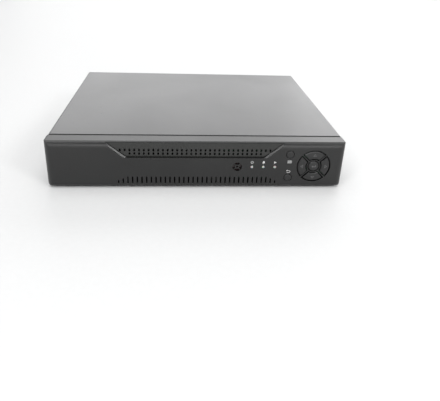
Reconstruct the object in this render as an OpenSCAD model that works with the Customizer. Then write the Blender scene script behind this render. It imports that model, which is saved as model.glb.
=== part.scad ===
// Sixteen-channel video recorder in a low steel case with a moulded front.
// Millimetres. +X is the right-hand side seen from the front, -Y is the front, +Z is up.
// The origin is under the middle of the recorder, on the surface that its feet stand on.

/* [Case] */
// Outside width of the case
body_w = 255; // [252:1:262]
// Depth from the front face to the rear edge of the cover
body_d = 210; // [209:1:220]
// Height of the case without its feet
body_h = 42; // [42:1:46]
// Height of the rubber feet
foot_h = 2.5; // [2:0.5:4]
// Thickness of the steel sheet
sheet = 1.0; // [0.8:0.1:1.2]
// Radius of the cover's two long bends
bend_r = 1.8; // [1.4:0.2:2.4]
// How far the cover can be lifted clear of the tray
cover_lift = 60; // [45:5:90]

/* [Front] */
// Depth of the front moulding, from its face to the seam with the cover
bezel_d = 14; // [14:0.5:16]
// Wall of the front moulding
bezel_t = 2.2; // [2:0.1:2.4]
// How far the front moulding stands out past the case on each side
bezel_lip = 1.2; // [0.8:0.1:1.6]
// Height of the button faces over the front
crown = 0.5; // [0.4:0.1:0.8]
// Travel of a button
key_travel = 0.5; // [0.3:0.05:0.6]
// Outer radius of the direction pad's opening
pad_r = 15; // [14.8:0.1:15.4]
// Radius of the two small round buttons
small_key_r = 3.3; // [3:0.1:3.5]
// Spacing of the vent slots
vent_pitch = 4; // [3.8:0.1:4.4]

/* [Rear] */
// Spacing of the coaxial sockets along the panel
bnc_pitch = 18.8; // [18.6:0.1:19]
// Length of the coaxial sockets outside the panel
bnc_len = 10.8; // [10.4:0.2:12]
// Height of the cover's rear flange
flange_top = 4; // [3.6:0.1:4.2]

/* [Fan] */
// Side of the square fan
fan_s = 30; // [30:1:32]
// Number of blades
blades = 7; // [5:1:9]

/* [Hidden] */
$fn = 48;

label_t = 0.3;
panel_set = 1.3;
total_l = crown + body_d + bnc_len - panel_set;
yf = -total_l / 2 + crown;      // front face
ys = yf + bezel_d;              // seam between moulding and cover
yr = yf + body_d;               // rear edge of the cover
yp = yr - panel_set;            // outer face of the printed label
ypo = yp - label_t;             // outer face of the steel rear panel
ypi = ypo - sheet;              // inner face of the steel rear panel
zb = foot_h;                    // underside of the case
zt = foot_h + body_h;           // top of the case
hw = body_w / 2;
bw = hw + bezel_lip;            // half the width of the front moulding
bezel_r = 6.5;                  // upright corners of the front moulding
ztb = zt - 0.45;                // top of the front moulding, a little under the cover
w2 = hw - sheet - 0.3;          // outside of the tray's side walls
zf = zb + sheet;                // tray floor
pcb0 = zb + 5.6;                // underside of the main board
pcb1 = zb + 7.2;                // top of the main board
board_x = 121.5;
board_y0 = ypi - 88.6;
board_y1 = ypi - 0.6;

pad_x = 101.2;  pad_z = zb + 19.4;
menu_x = 79.5;  menu_z = zb + 30.5;
esc_x = 79.3;   esc_z = zb + 8.2;
led_x = [46.7, 56.8, 66.9];  led_z = zb + 18.5;
ir_x = 33.8;    ir_z = zb + 18.6;
grille_x = -2;
key_y = yf + 9.2;               // front of the key board
board_bosses = [[24, zb + 21.5], [24, zb + 12.5], [119.5, zb + 36], [69, zb + 9]];

bnc_x0 = 114.7;
bnc_z = [zb + 13.9, zb + 28.9];
aout_x = -35.5; aout_z = zb + 14.2;
hdmi_x = -53.1; hdmi_z = zb + 10.5;
lan_x = -71.5;
rca_x = -88.5;  rca_z = [zb + 13.9, zb + 27.8];
vga_x = -110.2; vga_z = zb + 31.6;
term_x = -100.7;
dc_x = -110.3;  dc_z = zb + 13.8;
gnd_x = -119.5; gnd_z = zb + 16.1;
rsc_x = -95.1;  rsc_z = zb + 21.1;

fan_y = yf + 68; fan_z = zf + 2 + fan_s / 2;
fan_x1 = w2 - sheet - 0.1; fan_x0 = fan_x1 - 10;

d_x0 = -121; d_x1 = 26; d_y0 = ys + 1.9; d_y1 = d_y0 + 101.6; d_z0 = zf + 2; d_z1 = d_z0 + 26.1;
sp_x = d_x0 + 52; sp_y = (d_y0 + d_y1) / 2;
pv_x = sp_x + 48; pv_y = sp_y - 29;

cover_screw_y = [ys + 25, yr - 38];
cover_screw_z = zb + 5.2;
board_holes = [[-116, board_y0 + 5], [0, board_y0 + 5], [116, board_y0 + 5], [-116, board_y0 + 52], [26, board_y0 + 52], [116, board_y0 + 52]];
drive_holes = [for (a = [d_x1 - 41.28, d_x1 - 85.73]) for (b = [d_y0 + 3.18, d_y1 - 3.18]) [a, b]];
feet = [[-104, ys + 14], [104, ys + 14], [-104, yr - 22], [104, yr - 22]];

// ---- shared shapes ----
function arc(cx, cy, r, a0, a1, n) = [for (i = [0:n]) let (a = a0 + (a1 - a0) * i / n) [cx + r * cos(a), cy + r * sin(a)]];
function rr(x0, y0, x1, y1, r, n = 6) = concat(arc(x1 - r, y1 - r, r, 0, 90, n), arc(x0 + r, y1 - r, r, 90, 180, n),
  arc(x0 + r, y0 + r, r, 180, 270, n), arc(x1 - r, y0 + r, r, 270, 360, n));
function rr2(x0, y0, x1, y1, rt, rb, n = 6) = concat(arc(x1 - rt, y1 - rt, rt, 0, 90, n), arc(x0 + rt, y1 - rt, rt, 90, 180, n),
  arc(x0 + rb, y0 + rb, rb, 180, 270, n), arc(x1 - rb, y0 + rb, rb, 270, 360, n));
function unit(v) = v / norm(v);
function catmull(a, b, c, d, t) = 0.5 * ((2 * b) + (c - a) * t + (2 * a - 5 * b + 4 * c - d) * t * t + (3 * b - a - 3 * c + d) * t * t * t);
function smooth(P, n) = concat([for (i = [0:len(P) - 2]) for (k = [0:n - 1]) catmull(P[max(i - 1, 0)], P[i], P[i + 1], P[min(i + 2, len(P) - 1)], k / n)], [P[len(P) - 1]]);
function heading(S, i) = unit(S[min(i + 1, len(S) - 1)] - S[max(i - 1, 0)]);

module box(x0, x1, y0, y1, z0, z1) { translate([x0, y0, z0]) cube([x1 - x0, y1 - y0, z1 - z0]); }
module ycyl(r, y0, y1, x = 0, z = 0) { translate([x, y1, z]) rotate([90, 0, 0]) cylinder(r = r, h = y1 - y0); }
module xcyl(r, x0, x1, y = 0, z = 0) { translate([x0, y, z]) rotate([0, 90, 0]) cylinder(r = r, h = x1 - x0); }
module zcyl(r, z0, z1, x = 0, y = 0) { translate([x, y, z0]) cylinder(r = r, h = z1 - z0); }
module along_y(y0, y1) { translate([0, y1, 0]) rotate([90, 0, 0]) linear_extrude(y1 - y0) children(); }
module along_x(x0, x1) { translate([x0, 0, 0]) rotate([90, 0, 90]) linear_extrude(x1 - x0) children(); }
module along_z(z0, z1) { translate([0, 0, z0]) linear_extrude(z1 - z0) children(); }
// A lathe profile of [radius, distance] points, turned about an axis that points to the rear
module turned_y(x, y, z, profile) { translate([x, y, z]) rotate([-90, 0, 0]) rotate_extrude() polygon(profile); }
module turned_z(x, y, z, profile) { translate([x, y, z]) rotate_extrude() polygon(profile); }
// A tube of oval section along a smoothed route
module sweep(P, w, h, n = 5, sides = 8) {
  S = smooth(P, n); m = len(S);
  pts = [for (i = [0:m - 1]) let (t = heading(S, i), u = unit(cross([0, 0, 1], t)), v = cross(t, u)) for (k = [0:sides - 1])
    let (a = 360 * k / sides + 22.5) S[i] + u * w / 2 * cos(a) + v * h / 2 * sin(a)];
  faces = concat([[for (k = [0:sides - 1]) k]], [[for (k = [0:sides - 1]) (m - 1) * sides + sides - 1 - k]],
    [for (i = [0:m - 2]) for (k = [0:sides - 1]) let (b = (k + 1) % sides) [i * sides + k, (i + 1) * sides + k, (i + 1) * sides + b]],
    [for (i = [0:m - 2]) for (k = [0:sides - 1]) let (b = (k + 1) % sides) [i * sides + k, (i + 1) * sides + b, i * sides + b]]);
  polyhedron(pts, faces);
}

// ---- steel case ----
module chassis_tray() color("#3a3b3d") {
  difference() {
    union() {
      box(-w2, w2, ys + 0.1, ypi, zb, zf);
      for (s = [-1, 1]) box(s > 0 ? w2 - sheet : -w2, s > 0 ? w2 : -w2 + sheet, ys + 0.1, ypi, zb, zt - sheet - 0.3);
      box(-w2, w2, ys + 0.1, ys + 0.1 + sheet, zb, zt - sheet - 0.3);
      box(-w2, w2, ys + 0.1, ys + 7, zt - 2 * sheet - 0.3, zt - sheet - 0.3);
      for (p = drive_holes) zcyl(4, zf - 0.2, d_z0, p[0], p[1]);
    }
    for (p = drive_holes) zcyl(1.75, zb - 1, d_z0 + 1, p[0], p[1]);
    for (p = board_holes) zcyl(1.5, zb - 1, zf + 1, p[0], p[1]);
    for (p = feet) zcyl(2, zb - 1, zf + 1, p[0], p[1]);
    // openings in the front wall for air, the key board and its ribbon
    along_y(ys - 1, ys + 0.1 + sheet + 0.05) for (k = [0:5]) polygon(rr(-112 + k * 31, zb + 10, -86 + k * 31, zb + 35, 3));
    along_y(ys - 1, ys + 0.1 + sheet + 0.05) polygon(rr(78, zb + 5, 119, zb + 35, 3));
    // fan outlet and its screws, cover screws
    xcyl(fan_s / 2 - 1.4, w2 - 3, w2 + 1, fan_y, fan_z);
    for (a = [-12, 12]) for (b = [-12, 12]) xcyl(1.5, w2 - 3, w2 + 1, fan_y + a, fan_z + b);
    for (y = cover_screw_y) { xcyl(1.5, w2 - 3, w2 + 1, y, cover_screw_z); xcyl(1.5, -w2 - 1, -w2 + 3, y, cover_screw_z); }
    // air slots: left wall and floor
    for (k = [0:3]) along_x(-w2 - 1, -w2 + 2) polygon(rr(yf + 58 + k * 22, zb + 12, yf + 77 + k * 22, zb + 32, 2, 3));
    for (k = [0:15]) along_z(zb - 1, zf + 1) translate([-100 + k * 8, board_y0 + 32]) polygon(rr(0, 0, 3, 34, 1.4, 3));
  }
}

// Cut-outs that the steel panel and its label share, each wider by e
module panel_cuts(e, y0, y1) {
  for (k = [0:7]) for (z = bnc_z) ycyl(6.6 + e, y0, y1, bnc_x0 - k * bnc_pitch, z);
  ycyl(6.4 + e, y0, y1, aout_x, aout_z);
  for (z = rca_z) ycyl(5.4 + e, y0, y1, rca_x, z);
  along_y(y0, y1) {
    polygon(rr(hdmi_x - 7.9 - e, hdmi_z - 3.1 - e, hdmi_x + 7.9 + e, hdmi_z + 3.1 + e, 0.8, 3));
    polygon(rr(lan_x - 9.1 - e, zb + 6.9 - e, lan_x + 9.1 + e, zb + 37.6 + e, 0.4, 2));
    polygon(rr(vga_x - 8.9 - e, vga_z - 4.6 - e, vga_x + 8.9 + e, vga_z + 4.6 + e, 1.2, 3));
    polygon(rr(term_x - 4.4 - e, zb + 7.0 - e, term_x + 4.4 + e, zb + 15.1 + e, 0.3, 2));
    polygon(rr(dc_x - 5.15 - e, zb + 7.0 - e, dc_x + 5.15 + e, zb + 18.8 + e, 0.3, 2));
  }
  for (s = [-1, 1]) ycyl(1.8 + e, y0, y1, vga_x + s * 12.5, vga_z);
  ycyl(1.5 + e, y0, y1, gnd_x, gnd_z);
}
module rear_panel() color("#8e9496") difference() {
  union() {
    box(-w2 + 0.1, w2 - 0.1, ypi + 0.02, ypo, zb, zt - sheet - 0.3);
    box(-w2 + sheet + 0.3, w2 - sheet - 0.3, ypi - 9, ypi + 0.5, zf + 0.02, zf + sheet);
  }
  panel_cuts(0, ypi - 1, ypo + 1);
  ycyl(1.3, ypi - 1, ypo + 1, rsc_x, rsc_z);
}
module rear_label() color("#b4c3c9") difference() {
  along_y(ypo + 0.01, yp) polygon(rr(-hw + 2, zb + 0.5, hw - 2, zt - 1.6, 0.8, 3));
  panel_cuts(0.15, ypo - 1, yp + 1);
  ycyl(1.45, ypo - 1, yp + 1, rsc_x, rsc_z);
}

module top_cover() color("#2b2b2d") difference() {
  union() {
    difference() {
      along_y(ys + 0.9, yr) polygon(concat(arc(hw - bend_r, zt - bend_r, bend_r, 0, 90, 8), arc(-hw + bend_r, zt - bend_r, bend_r, 90, 180, 8), [[-hw, zb], [hw, zb]]));
      along_y(ys, yr - sheet) polygon(concat(arc(hw - bend_r, zt - bend_r, bend_r - sheet + 0.2, 0, 90, 6), arc(-hw + bend_r, zt - bend_r, bend_r - sheet + 0.2, 90, 180, 6),
        [[-hw + sheet - 0.2, zb - 1], [hw - sheet + 0.2, zb - 1]]));
      along_y(yr - sheet - 1, yr + 1) polygon(concat([[hw - 2.2, zb - 1], [hw - 2.2, zt - flange_top]], [[-hw + 2.2, zt - flange_top], [-hw + 2.2, zb - 1]]));
    }
  }
  // open-ended slots that let the cover come up past its loosened screws
  for (s = [-1, 1]) for (y = cover_screw_y) {
    xcyl(1.75, s > 0 ? hw - 3 : -hw - 1, s > 0 ? hw + 1 : -hw + 3, y, cover_screw_z);
    box(s > 0 ? hw - 3 : -hw - 1, s > 0 ? hw + 1 : -hw + 3, y - 1.75, y + 1.75, zb - 1, cover_screw_z);
  }
  // louvres over the fan, and a bank of slots on the other side
  for (k = [0:6]) box(hw - 3, hw + 1, fan_y - 13.2 + k * 4, fan_y - 10.8 + k * 4, fan_z - 12, fan_z + 12);
  for (k = [0:20]) box(-hw - 1, -hw + 3, yf + 60 + k * 4, yf + 62 + k * 4, zb + 14, zb + 30);
}

// ---- front moulding ----
function face_profile(t) = concat([[ys + (t > 0 ? 1 : 0), zb + t], [ys + (t > 0 ? 1 : 0), ztb - t]],
  t > 0 ? [[yf + 2.6 + t * 0.8, ztb - t], [yf + t, zt - 5.2 - t * 0.2], [yf + t, zb + t]]
        : concat([[yf + 2.4, ztb], [yf + 1.35, zt - 1.6], [yf + 0.6, zt - 3.1], [yf + 0.15, zt - 4.8], [yf, zt - 6.2]], arc(yf + 1.6, zb + 1.6, 1.6, 180, 270, 5)));
module trapezoid(top, bottom, z0, z1) { polygon([[grille_x - top, z1], [grille_x + top, z1], [grille_x + bottom, z0], [grille_x - bottom, z0]]); }
module spokes(r, w, y0, y1, x, z) { for (a = [45, 135]) translate([x, 0, z]) rotate([0, a, 0]) box(-r, r, y0, y1, -w / 2, w / 2); }
module front_bezel() color("#39393b") {
  difference() {
    union() {
      difference() {
        intersection() {
          along_y(yf, ys) polygon(rr2(-bw, zb, bw, ztb, 2.2, 3.4));
          along_x(-bw, bw) polygon(face_profile(0));
          along_z(zb - 1, zt + 1) polygon(concat(arc(bw - bezel_r, yf + bezel_r, bezel_r, -90, 0, 14), [[bw, ys], [-bw, ys]], arc(-bw + bezel_r, yf + bezel_r, bezel_r, 180, 270, 14)));
        }
        along_x(-hw + bezel_t + 0.6, hw - bezel_t - 0.6) polygon(face_profile(bezel_t));
      }
      // bosses for the key board and for the tray's front wall
      for (p = board_bosses) ycyl(2.3, yf + bezel_t - 0.2, key_y, p[0], p[1]);
      for (x = [-120, -60, 14]) box(x - 3, x + 3, yf + bezel_t - 0.2, ys, zb + 3, zb + 7.5);
    }
    for (p = board_bosses) ycyl(0.9, key_y - 5, key_y + 1, p[0], p[1]);
    // upper vent opening, with bevelled ends
    along_y(yf - 1, yf + 5.5) trapezoid(75.8, 58.8, zb + 26.8, zt - 1.4);
    hull() {
      along_y(yf - 0.2, yf - 0.1) trapezoid(77.9, 60.9, zb + 26.8, zt - 1.4);
      along_y(yf + 1.0, yf + 1.1) trapezoid(75.8, 58.8, zb + 26.8, zt - 1.4);
    }
    // lower vent slots
    for (k = [-17:17]) let (x = k * vent_pitch, s = abs(k) > 16 ? 3.4 : abs(k) > 15 ? 1.6 : 0) along_y(yf - 1, yf + bezel_t + 0.5)
      polygon(rr(x - 0.6, zb + 2.6, x + 0.6, zb + 8.9 - s, 0.5, 2));
    // small round buttons
    ycyl(small_key_r + 0.35, yf - 1, yf + bezel_t + 1, menu_x, menu_z);
    ycyl(small_key_r + 0.35, yf - 1, yf + bezel_t + 1, esc_x, esc_z);
    // direction pad opening, with its four ribs and middle ring left standing
    difference() {
      ycyl(pad_r, yf - 1, yf + bezel_t + 1, pad_x, pad_z);
      spokes(pad_r + 1, 1.0, yf + 0.25, yf + bezel_t, pad_x, pad_z);
      ycyl(6.15, yf + 0.25, yf + bezel_t, pad_x, pad_z);
    }
    ycyl(5.4, yf - 1, yf + bezel_t + 1, pad_x, pad_z);
    for (x = led_x) ycyl(1.3, yf - 1, yf + bezel_t + 1, x, led_z);
    // receiver grille
    difference() {
      ycyl(4.2, yf - 1, yf + bezel_t + 1, ir_x, ir_z);
      spokes(5, 0.8, yf + 0.5, yf + bezel_t, ir_x, ir_z);
      ycyl(1.9, yf + 0.5, yf + bezel_t, ir_x, ir_z);
    }
    ycyl(0.95, yf - 1, yf + bezel_t + 1, ir_x, ir_z);
  }
}
module grille_insert() color("#1f201e") difference() {
  union() {
    along_y(yf + 1.5, yf + 3.6) trapezoid(75.1, 59.4, zb + 28.0, zt - 1.7);
    along_y(yf + bezel_t + 0.1, yf + 3.6) trapezoid(73, 60.5, zb + 25.4, zt - 4.5);
  }
  for (k = [-16:16]) along_y(yf, yf + 5) polygon(rr(grille_x + k * vent_pitch - 0.8, zb + 32.1, grille_x + k * vent_pitch + 0.8, zb + 34.7, 0.75, 3));
  for (k = [-14:14]) along_y(yf, yf + 5) polygon(rr(grille_x + k * vent_pitch - 0.8, zb + 28.9, grille_x + k * vent_pitch + 0.8, zb + 31.3, 0.75, 3));
}
module status_light_pipes() color("#dfe3e0") for (x = led_x)
  turned_y(x, yf, led_z, [[0, -0.1], [0.9, -0.05], [1.2, 0.15], [1.2, 2.3], [1.9, 2.3], [1.9, 3.0], [1.2, 3.0], [1.2, 6.6], [0, 6.6]]);
module ir_window() color("#241416") {
  ycyl(4.9, yf + bezel_t + 0.05, yf + 3.4, ir_x, ir_z);
}

// Button: a round cap with a retaining rim and a stem, and the switch plunger that it pushes
module plunger(x, z) { ycyl(1.6, key_y - 4.9, key_y - 1.2, x, z); }
module round_button(r, x, z) {
  turned_y(x, yf, z, [[0, -crown], [r * 0.55, -crown + 0.04], [r - 0.5, -crown + 0.16], [r - 0.15, -crown + 0.32], [r, -crown + 0.65],
    [r, bezel_t + 0.1], [r + 0.95, bezel_t + 0.1], [r + 0.95, 3.2], [1.9, 3.2], [1.9, key_y - 4.95 - yf], [0, key_y - 4.95 - yf]]);
  plunger(x, z);
}
module menu_button() color("#3b3b3d") round_button(small_key_r, menu_x, menu_z);
module esc_button() color("#3b3b3d") round_button(small_key_r, esc_x, esc_z);
module enter_button() color("#3b3b3d") {
  turned_y(pad_x, yf, pad_z, [[0, -crown], [3, -crown + 0.05], [4.2, -crown + 0.25], [4.7, -crown + 0.8], [4.7, bezel_t + 0.1], [6.0, bezel_t + 0.1], [6.0, 3.2], [1.9, 3.2],
    [1.9, key_y - 4.95 - yf], [0, key_y - 4.95 - yf]]);
  plunger(pad_x, pad_z);
}
// One quarter of the direction pad: a = 0 right, 90 up, 180 left, 270 down
module pad_button(a) {
  translate([pad_x, 0, pad_z]) rotate([0, -a, 0]) {
    difference() {
      intersection() {
        union() {
          turned_y(0, yf, 0, [[6.95, -crown + 0.75], [7.55, -crown + 0.15], [10.6, -crown], [13.4, -crown + 0.2], [14.1, -crown + 0.85], [14.1, bezel_t + 0.1], [6.95, bezel_t + 0.1]]);
          turned_y(0, yf, 0, [[6.95, bezel_t + 0.05], [15.2, bezel_t + 0.05], [15.2, 3.2], [6.95, 3.2]]);
        }
        along_y(yf - 2, yf + 5) polygon([[2, 0], [20, 18], [30, 0], [20, -18]]);
      }
      // wedge faces 1.2 mm either side of the ribs come from the outline above
    }
    ycyl(1.9, yf + 3.0, key_y - 4.95, 11.4, 0);
    plunger(11.4, 0);
  }
}
module right_button() color("#3b3b3d") pad_button(0);
module up_button() color("#3b3b3d") pad_button(90);
module left_button() color("#3b3b3d") pad_button(180);
module down_button() color("#3b3b3d") pad_button(270);

// ---- key board ----
switch_xz = [[menu_x, menu_z], [esc_x, esc_z], [pad_x, pad_z], [pad_x + 11.4, pad_z], [pad_x - 11.4, pad_z], [pad_x, pad_z + 11.4], [pad_x, pad_z - 11.4]];
module key_board() color("#1d5a34") difference() {
  along_y(key_y + 0.02, key_y + 1.2) polygon(rr(20, zb + 3.2, 123, zb + 38.6, 1.5, 3));
  for (p = board_bosses) ycyl(1.1, key_y - 1, key_y + 3, p[0], p[1]);
}
module tact_switches() color("#1b1b1c") for (p = switch_xz) difference() {
  box(p[0] - 3, p[0] + 3, key_y - 3.4, key_y, p[1] - 3, p[1] + 3);
  ycyl(1.72, key_y - 4, key_y - 0.5, p[0], p[1]);
}
module key_board_leds() color("#d9dcd2") for (x = led_x) box(x - 0.9, x + 0.9, key_y - 1.1, key_y, led_z - 0.7, led_z + 0.7);
module ir_receiver() color("#161616") {
  along_y(yf + 3.6, key_y) polygon(rr(ir_x - 2.7, ir_z - 3.3, ir_x + 2.7, ir_z + 3.3, 0.5, 2));
}

// ---- main board ----
module main_board() color("#1f5d3a") difference() {
  along_z(pcb0 + 0.02, pcb1) polygon(rr(-board_x, board_y0, board_x, board_y1, 1.5, 3));
  for (p = board_holes) zcyl(1.7, pcb0 - 1, pcb1 + 1, p[0], p[1]);
}
module board_standoffs() color("#c9c7c0") for (p = board_holes) difference() {
  translate([p[0], p[1], zf]) cylinder(r = 3, h = pcb0 - zf, $fn = 6);
  zcyl(1.5, zf - 1, pcb0 + 1, p[0], p[1]);
}
module board_screws() color("#c4c4c2") for (p = board_holes) translate([p[0], p[1], pcb1 + 0.02]) difference() {
  rotate_extrude() polygon([[0, -5], [1.42, -5], [1.42, 0], [2.8, 0], [2.8, 0.9], [2.3, 1.6], [1.2, 1.9], [0, 1.9]]);
  rotate([0, 0, 25]) cross_recess(1.9, 1.2);
}
module heat_sink() color("#9fa3a6") translate([-28, board_y0 + 44, pcb1 + 2.0]) difference() {
  box(-20, 20, -20, 20, 0, 12);
  for (k = [0:8]) box(-18.4 + k * 4.2, -15.8 + k * 4.2, -21, 21, 2.4, 13);
  for (k = [-1, 1]) box(-21, 21, k * 7 - 1.2, k * 7 + 1.2, 5, 13);
}
module board_chips() color("#161718") {
  box(-37.5, -18.5, board_y0 + 34.5, board_y0 + 53.5, pcb1, pcb1 + 1.98);
  for (k = [0:3]) box(5 + k * 26, 17 + k * 26, board_y0 + 38, board_y0 + 50, pcb1, pcb1 + 1.4);
  for (k = [0:1]) { box(-63, -52, board_y0 + 32 + k * 14, board_y0 + 43 + k * 14, pcb1, pcb1 + 1.1); box(-10, 0, board_y0 + 30 + k * 15, board_y0 + 43 + k * 15, pcb1, pcb1 + 1.1); }
  box(-88, -80, board_y0 + 40, board_y0 + 48, pcb1, pcb1 + 1.2);
  box(-74, -68, board_y0 + 14, board_y0 + 19, pcb1, pcb1 + 1.5);
}
module power_inductors() color("#4a4c50") for (p = [[-104, 42], [-104, 28], [-92, 28], [-80, 26]])
  along_z(pcb1, pcb1 + 4.5) translate([p[0], board_y0 + p[1]]) polygon(rr(-4, -4, 4, 4, 1.4, 3));
module capacitors() color("#20262e") for (p = [[-114, 42, 4], [-114, 31, 4], [-92, 16, 3.15], [-101, 15, 3.15], [-46, 20, 3.15], [16, 26, 3.15], [52, 26, 3.15], [88, 26, 3.15]])
  turned_z(p[0], board_y0 + p[1], pcb1, [[0, 0], [p[2], 0], [p[2], 2], [p[2] - 0.35, 2.5], [p[2], 3], [p[2], p[2] * 2.6 - 0.4], [p[2] - 0.4, p[2] * 2.6], [0, p[2] * 2.6]]);
module coin_cell_holder() color("#15161a") difference() {
  zcyl(11.6, pcb1, pcb1 + 5, 70, board_y0 + 16);
  zcyl(10.15, pcb1 + 1.2, pcb1 + 6, 70, board_y0 + 16);
  box(60, 80, board_y0 + 22, board_y0 + 30, pcb1 + 2.4, pcb1 + 6);
}
module coin_cell() color("#c9ccce") turned_z(70, board_y0 + 16, pcb1 + 1.22, [[0, 0], [9.2, 0], [10, 0.6], [10, 3.0], [9.7, 3.2], [0, 3.2]]);
module buzzer() color("#141414") difference() {
  zcyl(6, pcb1, pcb1 + 9, 36, board_y0 + 12);
  zcyl(1.2, pcb1 + 6, pcb1 + 10, 36, board_y0 + 12);
}
module board_headers() color("#e3ded2") {
  // disk data socket, disk power header, ribbon header, fan header
  difference() { box(-62, -46, board_y0 + 3, board_y0 + 9.2, pcb1, pcb1 + 8.5); box(-60.2, -47.8, board_y0 + 4.6, board_y0 + 7.6, pcb1 + 2, pcb1 + 9); }
  difference() { box(-26, -13, board_y0 + 2.4, board_y0 + 8.2, pcb1, pcb1 + 6); box(-25.2, -13.8, board_y0 + 3.2, board_y0 + 7.4, pcb1 + 1.2, pcb1 + 7); }
  difference() { box(92, 108, board_y0 + 3, board_y0 + 8.8, pcb1, pcb1 + 6); box(92.8, 107.2, board_y0 + 3.8, board_y0 + 8, pcb1 + 1.2, pcb1 + 7); }
  difference() { box(112, 118, board_y0 + 12, board_y0 + 17.8, pcb1, pcb1 + 6); box(112.8, 117.2, board_y0 + 12.8, board_y0 + 17, pcb1 + 1.2, pcb1 + 7); }
}

// ---- rear sockets ----
module bnc_housings() color("#131415") for (k = [0:7]) difference() {
  box(bnc_x0 - k * bnc_pitch - 7.2, bnc_x0 - k * bnc_pitch + 7.2, ypi - 17, ypi - 0.4, pcb1, zb + 37.2);
  for (z = bnc_z) ycyl(6.4, ypi - 2.6, ypi + 1, bnc_x0 - k * bnc_pitch, z);
}
bnc_profile = [[2.05, -3.4], [6.35, -3.4], [6.35, 1.35], [6.2, 1.6], [5.95, 1.6], [5.8, 1.4], [5.7, 0.5], [5.3, 0.4], [5.0, 0.6], [5.0, 3.2], [4.8, 3.5], [4.8, bnc_len - 4.2], [4.65, bnc_len - 4.1],
  [4.65, bnc_len - 3.8], [4.8, bnc_len - 3.7], [4.8, bnc_len - 0.35], [4.5, bnc_len], [4.2, bnc_len], [4.05, bnc_len - 0.2], [4.05, 2.6], [2.05, 2.6]];
module bnc_shells() color("#c9c5b8") for (k = [0:7]) for (z = bnc_z) {
  turned_y(bnc_x0 - k * bnc_pitch, yp, z, bnc_profile);
  for (s = [-1, 1]) translate([bnc_x0 - k * bnc_pitch, yp + bnc_len - 5.4, z + s * 5.05]) cylinder(r = 0.95, h = 1.1, center = true, $fn = 24);
}
module bnc_insulators() color("#e6e5dc") for (k = [0:7]) for (z = bnc_z)
  turned_y(bnc_x0 - k * bnc_pitch, yp, z, [[0, -3.3], [2.0, -3.3], [2.0, bnc_len - 1.7], [1.8, bnc_len - 1.5], [1.1, bnc_len - 1.5], [0.95, bnc_len - 1.7], [0.95, 3], [0, 3]]);
module bnc_contacts() color("#c7a24a") for (k = [0:7]) for (z = bnc_z)
  turned_y(bnc_x0 - k * bnc_pitch, yp, z, [[0, 3.05], [0.85, 3.05], [0.85, bnc_len - 2.3], [0.5, bnc_len - 2.1], [0.5, 4.5], [0, 4.5]]);

module rca_housings() color("#131415") {
  difference() {
    union() {
      box(rca_x - 5.9, rca_x + 5.9, ypi - 12, ypi - 0.4, pcb1, zb + 33.6);
      for (z = rca_z) ycyl(5.15, ypi - 1, yp + 0.5, rca_x, z);
    }
    for (z = rca_z) ycyl(4.2, ypi - 8, yp + 1, rca_x, z);
    ycyl(1.35, ypi - 8, yp + 1, rsc_x, rsc_z);
  }
  difference() { box(aout_x - 6.3, aout_x + 6.3, ypi - 12, ypi - 0.4, pcb1, zb + 21); ycyl(6.2, ypi - 2.6, ypi + 1, aout_x, aout_z); ycyl(4.2, ypi - 8, ypi + 1, aout_x, aout_z); }
}
module rca_shells() color("#cfccc2") {
  for (z = rca_z) turned_y(rca_x, yp, z, [[3.7, -8], [4.15, -8], [4.15, 6.6], [3.95, 7], [3.8, 7], [3.7, 6.8]]);
  turned_y(aout_x, yp, aout_z, [[3.7, -8], [4.15, -8], [4.15, -3.2], [6.15, -3.2], [6.15, 0.8], [5.9, 1.3], [5.2, 1.9], [4.5, 2.3], [4.15, 3], [4.15, 7.8], [3.95, 8.2], [3.8, 8.2], [3.7, 8.0]]);
}
function rca_core(l) = [[1.6, -7.9], [3.65, -7.9], [3.65, l - 0.35], [3.5, l - 0.2], [1.9, l - 0.2], [1.6, l - 0.5]];
module rca_insulators_white() color("#e9e8e4") {
  turned_y(rca_x, yp, rca_z[1], rca_core(7));
  turned_y(aout_x, yp, aout_z, rca_core(8.2));
}
module rca_insulator_red() color("#b3131b") turned_y(rca_x, yp, rca_z[0], rca_core(7));

function hdmi_outline(e) = [[-7.5 + e, 2.8 - e], [7.5 - e, 2.8 - e], [7.5 - e, -0.7], [5.9 - e * 0.6, -2.2 + e * 0.3], [5.9 - e * 0.6, -2.8 + e], [-5.9 + e * 0.6, -2.8 + e], [-5.9 + e * 0.6, -2.2 + e * 0.3], [-7.5 + e, -0.7]];
module hdmi_shell() color("#c9c9c6") translate([hdmi_x, 0, hdmi_z]) difference() {
  along_y(ypi - 11, yp + 0.8) polygon(hdmi_outline(0));
  along_y(ypi - 10.4, yp + 2) polygon(hdmi_outline(0.45));
}
module hdmi_tongue() color("#121213") translate([hdmi_x, 0, hdmi_z]) union() {
  box(-5.6, 5.6, ypi - 9, yp - 0.6, -0.1, 1.1);
  along_y(ypi - 10.35, ypi - 8.9) polygon(hdmi_outline(0.5));
}
lan_z0 = pcb1; lan_z1 = zb + 37.2; rj_z = zb + 26.3; usb_z = [zb + 9.3, zb + 17.6];
module lan_openings(e, y0, y1) along_y(y0, y1) translate([lan_x, 0]) {
  polygon([[-5.95 - e, rj_z - e], [5.95 + e, rj_z - e], [5.95 + e, rj_z + 6.9 + e], [3.6 + e, rj_z + 6.9 + e], [3.6 + e, rj_z + 9.3 + e], [-3.6 - e, rj_z + 9.3 + e], [-3.6 - e, rj_z + 6.9 + e], [-5.95 - e, rj_z + 6.9 + e]]);
  for (z = usb_z) polygon(rr(-6.4 - e, z - e, 6.4 + e, z + 5.0 + e, 0.3, 2));
}
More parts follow.
